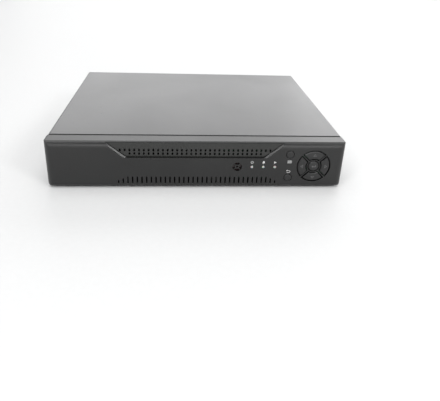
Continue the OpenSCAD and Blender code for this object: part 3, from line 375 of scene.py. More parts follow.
M = {
    "case": powder_coat(),
    # the bezel and the buttons get painted shade in their grooves and recesses, over the depth ranges given here
    "bezel": moulded("bezel_charcoal", (0.0058, 0.0058, 0.0058), (0.0086, 0.0086, 0.0084), rough=0.34, gloss=0.48, grain=2300, depth=0.00004, radius=0.0003, wear=0.25, shade_depth=(YF + 1.1, YF + 1.7), shade_field=(124, ZB + 1.2, ZT - 6.4)),
    "grille": moulded("grille_black", (0.0105, 0.011, 0.010), (0.0145, 0.015, 0.014), rough=0.5, grain=3000, radius=0.0002, wear=0.2),
    "button": moulded("button_charcoal", (0.0080, 0.0080, 0.0082), (0.0115, 0.0115, 0.0115), rough=0.35, gloss=0.46, grain=4200, depth=0.00002, radius=0.0003, wear=0.5, shade_depth=(YF + 0.1, YF + 1.1)),
    "black": moulded("nylon_black", (0.011, 0.011, 0.0115), (0.016, 0.016, 0.0165), rough=0.42, grain=3500, radius=0.00015),
    "epoxy": moulded("chip_epoxy", (0.0125, 0.0125, 0.013), (0.018, 0.018, 0.018), rough=0.55, grain=6000, depth=0.00002, radius=0.0001, wear=0.2),
    "label": label_film(),
    # the coaxial shells get painted shade inside their barrels and round their feet
    "coaxial": plated("coaxial_nickel", (0.60, 0.575, 0.515), rough=0.19, turned=(1, 26, 1), tarnish=0.3, barrel_shade=(BNC_X[0], 18.8, BNC_Z[0], 15.0, YP, bnc_hi[1])),
    "zinc": plated("zinc_sheet", (0.50, 0.52, 0.53), rough=0.34, turned=(1, 40, 40), tarnish=0.15, dull=(0.38, 0.39, 0.4)),
    "nickel": plated("bright_nickel", (0.62, 0.60, 0.55), rough=0.17, turned=(1, 26, 1), tarnish=0.2),
    "screw": plated("black_oxide", (0.045, 0.045, 0.048), rough=0.3, tarnish=0.3, dull=(0.10, 0.095, 0.09)),
    "tin": plated("tinned_shield", (0.60, 0.57, 0.50), rough=0.30, turned=(30, 1, 1), tarnish=0.35, dull=(0.5, 0.44, 0.33)),
    "steel": plated("zinc_screw", (0.62, 0.62, 0.60), rough=0.26, tarnish=0.2),
    "brass": plated("plated_brass", (0.70, 0.60, 0.38), rough=0.24, tarnish=0.3),
    "gold": plated("contact_gold", (0.83, 0.62, 0.26), rough=0.2, tarnish=0.1, dull=(0.6, 0.42, 0.15)),
    "anodised": plated("anodised_fins", (0.52, 0.54, 0.56), rough=0.38, turned=(1, 30, 1), tarnish=0.1, dull=(0.4, 0.41, 0.42)),
    "cast": plated("die_cast", (0.46, 0.47, 0.48), rough=0.46, scale=520, tarnish=0.35, radius=0.0004, dull=(0.3, 0.305, 0.31)),
    "stamped": plated("stamped_steel", (0.60, 0.61, 0.62), rough=0.27, turned=(36, 1, 1), tarnish=0.05, radius=0.0004, dull=(0.5, 0.5, 0.5), patchy=0.3),
    "mirror": plated("disk_mirror", (0.86, 0.87, 0.88), rough=0.09, tarnish=0.02, patchy=0.1),
    "white": moulded("socket_white", (0.74, 0.73, 0.67), (0.80, 0.79, 0.74), rough=0.36, grain=3000, depth=0.00002, radius=0.00015, wear=0.2, worn=(0.9, 0.89, 0.86)),
    "nylon": moulded("natural_nylon", (0.70, 0.66, 0.55), (0.76, 0.72, 0.62), rough=0.42, grain=2600, radius=0.0002, wear=0.2, worn=(0.88, 0.85, 0.78)),
    "red": moulded("socket_red", (0.42, 0.012, 0.016), (0.50, 0.018, 0.022), rough=0.32, grain=3000, depth=0.00002, radius=0.00015, wear=0.3, worn=(0.66, 0.1, 0.1)),
    "blue": moulded("vga_blue", (0.040, 0.135, 0.58), (0.055, 0.165, 0.66), rough=0.38, grain=2600, depth=0.00002, radius=0.0002, wear=0.3, worn=(0.2, 0.33, 0.8)),
    "green": moulded("terminal_green", (0.022, 0.27, 0.045), (0.032, 0.33, 0.06), rough=0.40, grain=2600, radius=0.0002, wear=0.3, worn=(0.15, 0.5, 0.2)),
    "ferrite": moulded("ferrite", (0.05, 0.05, 0.054), (0.08, 0.08, 0.084), rough=0.6, grain=1800, radius=0.0003),
    "pcb": circuit("circuit_green", (0.008, 0.075, 0.034), (0.02, 0.135, 0.062)),
    "pcb_drive": circuit("circuit_drive", (0.006, 0.05, 0.034), (0.014, 0.09, 0.06)),
    # the light pipes get a faint emission in their own grey: a painted glow
    "pipe": clear_plastic("light_pipe_milky_painted_glow", (0.34, 0.345, 0.34), emit=0.03),
    "lens": clear_plastic("led_lens", (0.80, 0.80, 0.72)),
    "ir": moulded("ir_window", (0.010, 0.0035, 0.004), (0.014, 0.005, 0.006), rough=0.12, grain=5000, depth=0.000005, radius=0.0003),
    "lens_green": clear_plastic("lens_green", (0.12, 0.5, 0.12)),
    "lens_amber": clear_plastic("lens_amber", (0.72, 0.42, 0.05)),
    "foot": rubber("foot_rubber", (0.016, 0.016, 0.016)),
    "lead_red": rubber("lead_red", (0.36, 0.012, 0.018), 2600, 0.42),
    "lead_black": rubber("lead_black", (0.013, 0.013, 0.014), 2600, 0.42),
    "lead_yellow": rubber("lead_yellow", (0.62, 0.42, 0.03), 2600, 0.42),
    "ribbon": rubber("ribbon_grey", (0.36, 0.355, 0.33), 2600, 0.45),
    "can": can_material(),
    "print_white": ink("print_white", (0.44, 0.44, 0.435)),
    "print_grey": ink("print_grey", (0.085, 0.085, 0.085)),
    "print_black": ink("print_black", (0.014, 0.015, 0.017)),
    "print_line": ink("print_line", (0.17, 0.19, 0.205)),
    "silk": ink("silk_screen", (0.66, 0.67, 0.64)),
    "paper": ink("paper_label", (0.70, 0.71, 0.70), 0.6),
}

for node, key in {
    "chassis_tray": "case", "rear_panel": "zinc", "rear_label": "label", "top_cover": "case", "front_bezel": "bezel", "grille_insert": "grille",
    "status_light_pipes": "pipe", "ir_window": "ir", "menu_button": "button", "esc_button": "button", "up_button": "button", "down_button": "button",
    "left_button": "button", "right_button": "button", "enter_button": "button", "key_board": "pcb", "tact_switches": "black", "key_board_leds": "lens",
    "ir_receiver": "epoxy", "main_board": "pcb", "heat_sink": "anodised", "board_chips": "epoxy", "power_inductors": "ferrite", "capacitors": "can",
    "coin_cell": "stamped", "coin_cell_holder": "black", "buzzer": "black", "board_headers": "nylon", "bnc_housings": "black", "bnc_shells": "coaxial",
    "bnc_insulators": "white", "bnc_contacts": "gold", "rca_housings": "black", "rca_shells": "nickel", "rca_insulators_white": "white",
    "rca_insulator_red": "red", "hdmi_shell": "nickel", "hdmi_tongue": "black", "lan_usb_shell": "tin", "lan_usb_insert": "black", "vga_shell": "nickel",
    "vga_insert": "blue", "vga_jackscrews": "nickel", "terminal_block": "green", "dc_jack": "black", "dc_jack_pin": "nickel", "rubber_feet": "foot",
    "case_screws": "screw", "cover_screws": "screw", "board_screws": "steel", "board_standoffs": "brass", "fan_frame": "black", "fan_rotor": "black",
    "drive_casting": "cast", "drive_lid": "stamped", "drive_platter": "mirror", "drive_arm": "cast", "drive_board": "pcb_drive",
    "drive_data_cable": "lead_red", "drive_power_cable": "lead_black", "panel_ribbon": "ribbon",
}.items():
    if node in NODES:
        for s in NODES[node].material_slots:
            s.material = M[key]


# ---------------------------------------------------------------- mesh helpers (millimetres in, metres out)
class Kit:
    """Collects closed shells into one mesh."""

    def __init__(self):
        self.v, self.f = [], []

    def add(self, verts, faces):
        n = len(self.v)
        self.v += [tuple(p) for p in verts]
        self.f += [tuple(i + n for i in f) for f in faces]

    def box(self, x0, x1, y0, y1, z0, z1, c=0.08, spin=0.0):
        """A box with chamfered edges, turned by spin degrees about its own upright axis."""
        lo, hi = (x0, y0, z0), (x1, y1, z1)
        c = min(c, 0.45 * min(b - a for a, b in zip(lo, hi)))
        mid = Vector(((x0 + x1) / 2, (y0 + y1) / 2, 0))
        turn = Matrix.Rotation(math.radians(spin), 3, "Z")
        idx, V, F = {}, [], []
        for s in [(a, b, d) for a in (0, 1) for b in (0, 1) for d in (0, 1)]:
            for a in range(3):
                p = Vector([(hi[k] - (0 if k == a else c)) if s[k] else (lo[k] + (0 if k == a else c)) for k in range(3)])
                idx[s, a] = len(V)
                V.append(turn @ (p - mid) + mid)
        for a in range(3):
            b, d = (a + 1) % 3, (a + 2) % 3
            for sa in (0, 1):
                ring = []
                for sb, sd in ((0, 0), (1, 0), (1, 1), (0, 1)):
                    s = [0, 0, 0]
                    s[a], s[b], s[d] = sa, sb, sd
                    ring.append(idx[tuple(s), a])
                F.append(ring if sa else ring[::-1])
            for sb in (0, 1):
                for sd in (0, 1):
                    s0, s1 = [0, 0, 0], [0, 0, 0]
                    s0[b] = s1[b] = sb
                    s0[d] = s1[d] = sd
                    s1[a] = 1
                    s0, s1 = tuple(s0), tuple(s1)
                    F.append([idx[s0, b], idx[s1, b], idx[s1, d], idx[s0, d]])
        for s in [(a, b, d) for a in (0, 1) for b in (0, 1) for d in (0, 1)]:
            F.append([idx[s, 0], idx[s, 1], idx[s, 2]])
        self.add(V, F)

    def prism(self, outline, frame_of, d0, d1):
        """A straight-sided solid: outline in (u, v), frame_of(u, v, d) gives the point."""
        n = len(outline)
        V = [frame_of(u, v, d0) for u, v in outline] + [frame_of(u, v, d1) for u, v in outline]
        F = [tuple(range(n))[::-1], tuple(range(n, 2 * n))] + [(i, (i + 1) % n, n + (i + 1) % n, n + i) for i in range(n)]
        self.add(V, F)

    def lathe(self, profile, place, sides=24):
        """profile is [(radius, height)] from axis to axis; place(x, y, h) gives the point."""
        V, F, rings = [], [], []
        for r, h in profile:
            if r < 1e-6:
                rings.append([len(V)])
                V.append(place(0, 0, h))
            else:
                rings.append(list(range(len(V), len(V) + sides)))
                V += [place(r * math.cos(2 * math.pi * k / sides), r * math.sin(2 * math.pi * k / sides), h) for k in range(sides)]
        for a, b in zip(rings, rings[1:]):
            for k in range(sides):
                j = (k + 1) % sides
                if len(a) == 1:
                    F.append((a[0], b[j], b[k]))
                elif len(b) == 1:
                    F.append((a[k], a[j], b[0]))
                else:
                    F.append((a[k], a[j], b[j], b[k]))
        self.add(V, F)

    def tube(self, path, section, up=(0, 0, 1)):
        """Sweeps a closed section [(side, up)] along path with capped ends."""
        P = [Vector(p) for p in path]
        n, V, F = len(section), [], []
        side = None
        for i, p in enumerate(P):
            t = (P[min(i + 1, len(P) - 1)] - P[max(i - 1, 0)]).normalized()
            ref = Vector(up)
            s = ref.cross(t)
            if s.length < 0.05:
                s = side if side is not None else Vector((1, 0, 0))
            s = (s - t * s.dot(t)).normalized()
            if side is not None and s.dot(side) < 0:
                s = -s
            side = s
            w = t.cross(s)
            V += [p + s * a + w * b for a, b in section]
        for i in range(len(P) - 1):
            for k in range(n):
                j = (k + 1) % n
                F.append((i * n + k, i * n + j, (i + 1) * n + j, (i + 1) * n + k))
        F.append(tuple(range(n))[::-1])
        F.append(tuple(range((len(P) - 1) * n, len(P) * n)))
        self.add(V, F)

    def make(self, name, material, body="case", replaces=(), smooth=35, slot=None, bevel=0.0):
        me = bpy.data.meshes.new(name)
        me.from_pydata([tuple(c * MM for c in v) for v in self.v], [], self.f)
        bm = bmesh.new()
        bm.from_mesh(me)
        bmesh.ops.recalc_face_normals(bm, faces=bm.faces)
        bm.to_mesh(me)
        bm.free()
        me.materials.append(material)
        me.shade_smooth()
        me.set_sharp_from_angle(angle=math.radians(smooth))
        ob = bpy.data.objects.new(name, me)
        bpy.context.scene.collection.objects.link(ob)
        if bevel:
            b = ob.modifiers.new("edge", "BEVEL")
            b.width, b.segments, b.limit_method, b.angle_limit = bevel * MM, 2, "ANGLE", math.radians(40)
        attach(ob, body)
        if replaces:
            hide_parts(*replaces)
        return ob


def circle(r, n=10, squash=1.0):
    return [(r * math.cos(2 * math.pi * k / n), r * squash * math.sin(2 * math.pi * k / n)) for k in range(n)]


def rounded(x0, y0, x1, y1, r, n=4):
    pts = []
    for cx, cy, a0 in ((x1 - r, y1 - r, 0), (x0 + r, y1 - r, 90), (x0 + r, y0 + r, 180), (x1 - r, y0 + r, 270)):
        pts += [(cx + r * math.cos(math.radians(a0 + 90 * i / n)), cy + r * math.sin(math.radians(a0 + 90 * i / n))) for i in range(n + 1)]
    return pts


def catmull(points, steps):
    P = [Vector(p) for p in points]
    out = []
    for i in range(len(P) - 1):
        a, b, c, d = P[max(i - 1, 0)], P[i], P[i + 1], P[min(i + 2, len(P) - 1)]
        for k in range(steps):
            t = k / steps
            out.append(0.5 * ((2 * b) + (c - a) * t + (2 * a - 5 * b + 4 * c - d) * t * t + (3 * b - a - 3 * c + d) * t ** 3))
    return out + [P[-1]]


def front(y):
    return lambda u, v, d: (u, y + d, v)


# ---------------------------------------------------------------- front: pictograms instead of words
def crown_y(r):
    """Height of the direction pad's crowned ring at radius r, from its lathe profile."""
    prof = [(6.95, -CROWN + 0.75), (7.55, -CROWN + 0.15), (10.6, -CROWN), (13.4, -CROWN + 0.2), (14.1, -CROWN + 0.85)]
    for (r0, y0), (r1, y1) in zip(prof, prof[1:]):
        if r0 <= r <= r1:
            return YF + y0 + (y1 - y0) * (r - r0) / (r1 - r0)
    return YF - CROWN


def ring_mark(angle, body, name):
    """A small raised triangle that points outwards on one quarter of the pad."""
    kit = Kit()
    a = math.radians(angle)
    ax, az = math.cos(a), math.sin(a)
    tri = [(11.9, 0.0), (9.7, 1.6), (9.7, -1.6)]
    inner = [(11.3, 0.0), (10.05, 0.95), (10.05, -0.95)]
    def at(r, s, d):
        rr = math.hypot(r, s)
        return (pad[0] + ax * r - az * s, crown_y(rr) + d, pad[2] + az * r + ax * s)
    V, F = [], []
    for d in (0.03, -0.05):
        for ring in (tri, inner):
            V += [at(r, s, d) for r, s in ring]
    for k in range(3):
        j = (k + 1) % 3
        F += [(k, j, 3 + j, 3 + k), (6 + k, 6 + j, 9 + j, 9 + k), (k, j, 6 + j, 6 + k), (3 + k, 3 + j, 9 + j, 9 + k)]
    kit.add(V, F)
    kit.make(name, M["print_grey"], body, smooth=20)


for ang, name in ((0, "right"), (90, "up"), (180, "left"), (270, "down")):
    ring_mark(ang, name + "_key", name + "_key_mark")

kit = Kit()   # return arrow on the middle button
y = YF - CROWN
kit.prism([(-1.9, -0.25), (-0.6, 0.85), (-0.6, 0.05), (1.3, 0.05), (1.3, 1.4), (1.9, 1.4), (1.9, -0.55), (-0.6, -0.55), (-0.6, -1.35)],
          lambda u, v, d: (pad[0] + u * 0.95, y + d + 0.016 * math.hypot(u, v), pad[2] + v * 0.95), -0.03, 0.05)
kit.make("enter_key_mark", M["print_grey"], "enter_key", smooth=20)


def broken_ring(kit, cx, cz, r, w, a0, a1, y, n=20):
    pts = [(cx + (r + w / 2) * math.cos(math.radians(a0 + (a1 - a0) * i / n)), cz + (r + w / 2) * math.sin(math.radians(a0 + (a1 - a0) * i / n))) for i in range(n + 1)]
    pts += [(cx + (r - w / 2) * math.cos(math.radians(a1 - (a1 - a0) * i / n)), cz + (r - w / 2) * math.sin(math.radians(a1 - (a1 - a0) * i / n))) for i in range(n + 1)]
    V = [(u, y - 0.03, v) for u, v in pts] + [(u, y + 0.04, v) for u, v in pts]
    m, F = len(pts), []
    for i in range(n):
        F += [(i, i + 1, m - 2 - i, m - 1 - i), (m + i, m + i + 1, 2 * m - 2 - i, 2 * m - 1 - i)]
    F += [(i, (i + 1) % m, m + (i + 1) % m, m + i) for i in range(m)]
    kit.add(V, F)


kit = Kit()
iz = LED_Z + 4.4
broken_ring(kit, LED_X[0], iz, 1.05, 0.34, 125, 415, YF)
kit.prism([(LED_X[0] - 0.17, iz + 0.1), (LED_X[0] + 0.17, iz + 0.1), (LED_X[0] + 0.17, iz + 1.45), (LED_X[0] - 0.17, iz + 1.45)], front(YF), -0.03, 0.04)
x = LED_X[1]
kit.prism([(x - 1.3, iz - 0.75), (x + 1.3, iz - 0.75), (x + 0.95, iz - 0.2), (x + 0.85, iz + 0.7), (x + 0.35, iz + 1.2), (x - 0.35, iz + 1.2), (x - 0.85, iz + 0.7), (x - 0.95, iz - 0.2)], front(YF), -0.03, 0.04)
kit.prism([(x + 0.42 * math.cos(a * math.pi / 5), iz - 1.25 + 0.3 * math.sin(a * math.pi / 5)) for a in range(10)], front(YF), -0.03, 0.04)
x = LED_X[2]
kit.prism([(x - 0.95, iz - 1.15), (x + 1.25, iz), (x - 0.95, iz + 1.15)], front(YF), -0.03, 0.04)
for k in range(3):   # three bars under the upper round button
    kit.prism(rounded(menu[0] - 1.9, menu[2] - 8.1 + k * 0.95, menu[0] + 1.9, menu[2] - 7.65 + k * 0.95, 0.2, 2), front(YF), -0.03, 0.04)
x, z = esc[0], esc[2] + 5.9   # backward arrow over the lower one
broken_ring(kit, x + 0.5, z, 0.95, 0.36, -90, 90, YF, 12)
kit.prism([(x + 0.45, z + 0.77), (x + 0.45, z + 1.13), (x - 1.0, z + 1.13), (x - 1.0, z + 0.77)], front(YF), -0.03, 0.04)
kit.prism([(x + 0.45, z - 1.13), (x + 0.45, z - 0.77), (x - 1.4, z - 0.77), (x - 1.4, z - 1.13)], front(YF), -0.03, 0.04)
kit.prism([(x - 2.0, z + 0.95), (x - 0.9, z + 1.75), (x - 0.9, z + 0.15)], front(YF), -0.03, 0.04)
kit.make("front_pictograms", M["print_white"], smooth=20)

# ---------------------------------------------------------------- rear: print on the film
def flat(kit, x0, x1, z0, z1, r=0.3, y=YP, h=0.03):
    kit.prism(rounded(x0, z0, x1, z1, r, 3), front(y), -0.02, h)


kit = Kit()
flat(kit, -25.6, 123.2, ZB + 1.5, ZB + 4.9, 0.5)
flat(kit, -59.9, -46.4, ZB + 2.6, ZB + 5.6)
flat(kit, -80.7, -61.6, ZB + 2.1, ZB + 5.8)
flat(kit, -94.9, -82.0, ZB + 3.6, ZB + 6.6)
flat(kit, -105.4, -96.5, ZB + 3.3, ZB + 5.9)
flat(kit, -114.9, -106.2, ZB + 3.3, ZB + 5.9)
flat(kit, -115.2, -105.2, ZB + 22.3, ZB + 25.2)
kit.make("rear_label_bars", M["print_black"], smooth=20)

def seg_digit(kit, ch, u, v, h, w, t, put):
    """A seven-segment numeral with its lower left corner at (u, v)."""
    on = {"0": "abcdef", "1": "bc", "2": "abged", "3": "abgcd", "4": "fgbc", "5": "afgcd", "6": "afgedc", "7": "abc", "8": "abcdefg", "9": "abcdfg"}[ch]
    m, g = h / 2, 0.03
    place = {"a": (g + t, h - t, w - t - g, h), "d": (g + t, 0, w - t - g, t), "g": (g + t, m - t / 2, w - t - g, m + t / 2), "f": (0, m + t / 2 + g, t, h - g),
             "e": (0, g, t, m - t / 2 - g), "b": (w - t, m + t / 2 + g, w, h - g), "c": (w - t, g, w, m - t / 2 - g)}
    for s in on:
        a, b, c, d = place[s]
        put(kit, u + a, v + b, u + c, v + d)


def rear_put(kit, u0, v0, u1, v1, y=YP, h=0.03):
    """A printed bar, placed as seen from behind (u runs to the viewer's right)."""
    kit.prism([(-u0, v0), (-u1, v0), (-u1, v1), (-u0, v1)], front(y), -0.02, h)


kit = Kit()   # channel numbers beside the coaxial sockets
for col in range(8):
    for row, z in enumerate(BNC_Z[::-1]):
        number = str(15 - 2 * col + row)
        u = -BNC_X[7 - col] + 7.0 - (0.35 if len(number) == 1 else 0.0)
        for k, ch in enumerate(number):
            seg_digit(kit, ch, u + k * 1.25, z - 5.9, 1.7, 0.95, 0.22, rear_put)
kit.make("channel_numbers", M["print_line"], smooth=20)

kit = Kit()   # cell lines, network sign, terminal signs and earth ring
for u, z0, z1 in ((61.9, 6.6, 37.6), (81.6, 7.4, 37.6), (95.6, 3.6, 18.0), (95.6, 24.4, 37.6), (45.2, 6.6, 37.6)):
    rear_put(kit, u - 0.12, ZB + z0, u + 0.12, ZB + z1)
for u, z in ((56.9, 35.3), (54.9, 32.4), (58.9, 32.4)):
    rear_put(kit, u - 0.8, ZB + z - 0.5, u + 0.8, ZB + z + 0.5)
rear_put(kit, 56.8, ZB + 34.0, 57.0, ZB + 34.75)
rear_put(kit, 54.8, ZB + 33.85, 59.0, ZB + 34.0)
for u in (54.9, 58.9):
    rear_put(kit, u - 0.1, ZB + 32.95, u + 0.1, ZB + 33.8)
rear_put(kit, 98.0, ZB + 17.3, 99.4, ZB + 17.6)
rear_put(kit, 102.1, ZB + 17.3, 103.5, ZB + 17.6)
rear_put(kit, 102.65, ZB + 17.62, 102.95, ZB + 18.15)
rear_put(kit, 102.65, ZB + 16.75, 102.95, ZB + 17.28)
for w, z in ((1.1, 9.2), (0.72, 8.7), (0.34, 8.2)):
    rear_put(kit, 119.5 - w, ZB + z - 0.1, 119.5 + w, ZB + z + 0.1)
rear_put(kit, 119.4, ZB + 9.32, 119.6, ZB + 10.6)
n = 28
V, F = [], []
for d in (-0.02, 0.03):
    for r in (2.3, 2.05):
        V += [(-119.5 + r * math.cos(2 * math.pi * k / n), YP + d, ZB + 9.4 + r * math.sin(2 * math.pi * k / n)) for k in range(n)]
for k in range(n):
    j = (k + 1) % n
    F += [(k, j, n + j, n + k), (2 * n + k, 2 * n + j, 3 * n + j, 3 * n + k), (k, j, 2 * n + j, 2 * n + k), (n + k, n + j, 3 * n + j, 3 * n + k)]
kit.add(V, F)
kit.make("rear_print_lines", M["print_line"], smooth=20)

kit = Kit()   # black panel behind the single audio socket: two pieces round its opening
r0, n = 6.75, 24
left = [(44.6, 1.9), (44.6, 38.4), (35.5, 38.4)] + [(35.5 + r0 * math.sin(math.pi * k / n), 14.2 + r0 * math.cos(math.pi * k / n)) for k in range(n + 1)] + [(35.5, 1.9)]
right = [(35.5, 38.4), (26.6, 38.4), (26.6, 1.9), (35.5, 1.9)] + [(35.5 - r0 * math.sin(math.pi * k / n), 14.2 - r0 * math.cos(math.pi * k / n)) for k in range(n + 1)]
for shape in (left, right):
    kit.prism([(-u, ZB + v) for u, v in shape], front(YP), -0.02, 0.03)
kit.make("audio_out_print", M["print_black"], smooth=20)

kit = Kit()   # small white signs on the black bars
Y1 = YP + 0.03
def sign(u0, v0, u1, v1):
    rear_put(kit, u0, ZB + v0, u1, ZB + v1, Y1, 0.02)
for u, z in ((53.1, 4.1), (110.2, 23.75)):      # screens
    sign(u - 1.5, z - 0.8, u + 1.5, z - 0.6); sign(u - 1.5, z + 0.7, u + 1.5, z + 0.9)
    sign(u - 1.5, z - 0.55, u - 1.3, z + 0.65); sign(u + 1.3, z - 0.55, u + 1.5, z + 0.65)
    sign(u - 0.6, z - 1.15, u + 0.6, z - 1.0)
for u in (69.0, 72.4):                          # two plugs
    sign(u - 1.0, 3.2, u + 1.0, 3.4); sign(u - 1.0, 4.5, u + 1.0, 4.7); sign(u - 1.0, 3.45, u - 0.8, 4.45); sign(u + 0.8, 3.45, u + 1.0, 4.45)
for k, h in enumerate((0.3, 0.8, 1.1, 0.6, 0.9, 0.4)):   # sound level
    sign(86.6 + k * 0.65, 5.1 - h, 86.9 + k * 0.65, 5.1 + h)
sign(99.0, 4.45, 100.2, 4.7); sign(101.6, 4.45, 102.8, 4.7)
sign(108.9, 4.9, 112.2, 5.1)                    # direct current
for k in range(3):
    sign(108.9 + k * 1.2, 4.2, 109.8 + k * 1.2, 4.4)
sign(34.6, 4.0, 36.4, 4.25); sign(34.6, 34.0, 36.4, 34.25)
kit.make("rear_signs", M["print_white"], smooth=20)

# ---------------------------------------------------------------- contacts and small fittings of the sockets
RJ = ZB + 26.3      # floor of the network socket
kit = Kit()
for k in range(8):
    x = LAN_X + (k - 3.5) * 1.02
    kit.tube([(x, YP - 1.5, RJ + 0.3), (x, YP - 4, RJ + 0.55), (x, YP - 8.5, RJ + 2.6), (x, YP - 10.5, RJ + 3.2)], circle(0.19, 8))
kit.make("lan_contacts", M["gold"], smooth=50)
kit = Kit()
for z in (ZB + 9.3, ZB + 17.6):
    for k in range(4):
        x = LAN_X + (k - 1.5) * 2.35
        kit.box(x - 0.5, x + 0.5, YP - 8, YP + 0.2, z + 2.42, z + 2.56, 0.04)
kit.make("usb_contacts", M["gold"], smooth=30)
kit = Kit()
for z in (ZB + 9.3, ZB + 17.6):    # bright liners with sprung tabs
    o = rounded(LAN_X - 6.36, z + 0.04, LAN_X + 6.36, z + 4.96, 0.3, 2)
    i = rounded(LAN_X - 6.14, z + 0.26, LAN_X + 6.14, z + 4.74, 0.15, 2)
    m = len(o)
    V = [(u, y, v) for y in (YP - 9, YP + 2.05) for ring in (o, i) for u, v in ring]
    F = []
    for k in range(m):
        j = (k + 1) % m
        F += [(k, j, m + j, m + k), (2 * m + k, 2 * m + j, 3 * m + j, 3 * m + k), (k, j, 2 * m + j, 2 * m + k), (m + k, m + j, 3 * m + j, 3 * m + k)]
    kit.add(V, F)
    for x in (-3.1, 3.1):
        kit.tube([(LAN_X + x, YP - 7, z + 0.33), (LAN_X + x, YP - 3.5, z + 0.75), (LAN_X + x, YP - 0.5, z + 0.38)], [(-0.9, -0.06), (0.9, -0.06), (0.9, 0.06), (-0.9, 0.06)])
kit.make("usb_liners", M["nickel"], smooth=30)
kit = Kit()
kit.box(LAN_X - 6.1 - 1.6, LAN_X - 6.1 + 1.6, YP + 1.57, YP + 1.95, lan_hi[2] - 2.02, lan_hi[2] - 0.98, 0.15)
kit.make("lan_light_left", M["lens_green"], smooth=30)
kit = Kit()
kit.box(LAN_X + 6.1 - 1.6, LAN_X + 6.1 + 1.6, YP + 1.57, YP + 1.95, lan_hi[2] - 2.02, lan_hi[2] - 0.98, 0.15)
kit.make("lan_light_right", M["lens_amber"], smooth=30)
kit = Kit()
for k in range(10):
    x = hdmi[0] + (k - 4.5) * 1.0
    kit.box(x - 0.22, x + 0.22, YP - 8, YP - 0.75, hdmi[2] + 1.08, hdmi[2] + 1.2, 0.03)
    if k < 9:
        kit.box(x + 0.28, x + 0.72, YP - 8, YP - 0.75, hdmi[2] - 0.2, hdmi[2] - 0.08, 0.03)
kit.make("hdmi_contacts", M["gold"], smooth=30)
kit = Kit()
for s in (-1, 1):    # dimples on the D-shaped shell, top and bottom
    for u in (-4.2, 0.0, 4.2):
        kit.lathe([(0, 0.16), (0.5, 0.10), (0.85, -0.12), (0, -0.2)], lambda a, b, h, s=s, u=u: (vga[0] + u + a, YP + 3.4 + b, vga[2] + s * (3.9 + h)), 16)
kit.make("vga_dimples", M["nickel"], smooth=60)
kit = Kit()
tx = (term_lo[0] + term_hi[0]) / 2
for s in (-1, 1):
    x = tx + s * 2
    kit.box(x - 1.35, x + 1.35, YP - 5.8, YP - 0.6, ZB + 8.6, ZB + 9.1, 0.1)
    kit.box(x - 1.35, x + 1.35, YP - 5.8, YP - 0.6, ZB + 13.1, ZB + 13.6, 0.1)
    kit.lathe([(0, -2.4), (0.8, -2.4), (0.95, -2.2), (0.95, 0), (0, 0)], lambda a, b, h, x=x: (x + a, YP - 2.6 + b, ZB + 13.2 + h), 16)
kit.make("terminal_clamps", M["nickel"], smooth=30)
kit = Kit()
for s in (-1, 1):    # screw heads on the block's top, seen with the cover off
    kit.lathe([(0, -0.05), (1.25, -0.05), (1.25, 0.35), (1.1, 0.5), (0, 0.5)], lambda a, b, h, s=s: (tx + s * 2 + a, YP - 6.5 + b, term_hi[2] + h), 20)
kit.make("terminal_screws", M["steel"], smooth=40)
kit = Kit()
kit.tube([(dc[0], YP - 8.5, dc[2] - 2.9), (dc[0], YP - 4.5, dc[2] - 2.2), (dc[0], YP - 1.2, dc[2] - 2.85)], [(-0.8, -0.1), (0.8, -0.1), (0.8, 0.1), (-0.8, 0.1)])
kit.make("dc_jack_spring", M["nickel"], smooth=40)
kit = Kit()
for x, z in ((RCA_X, (rca_lo[2] + rca_hi[2]) / 2), (RCA_X, (rca_lo[2] + rca_hi[2]) / 2 + 13.9), (-35.5, ZB + 14.2)):
    kit.lathe([(1.3, 2.6), (1.3, -7.5), (1.56, -7.5), (1.56, 5.0), (1.3, 5.0), (1.3, 2.6)], lambda a, b, h, x=x, z=z: (x + a, YP + h, z + b), 20)
kit.make("rca_contacts", M["nickel"], smooth=40)

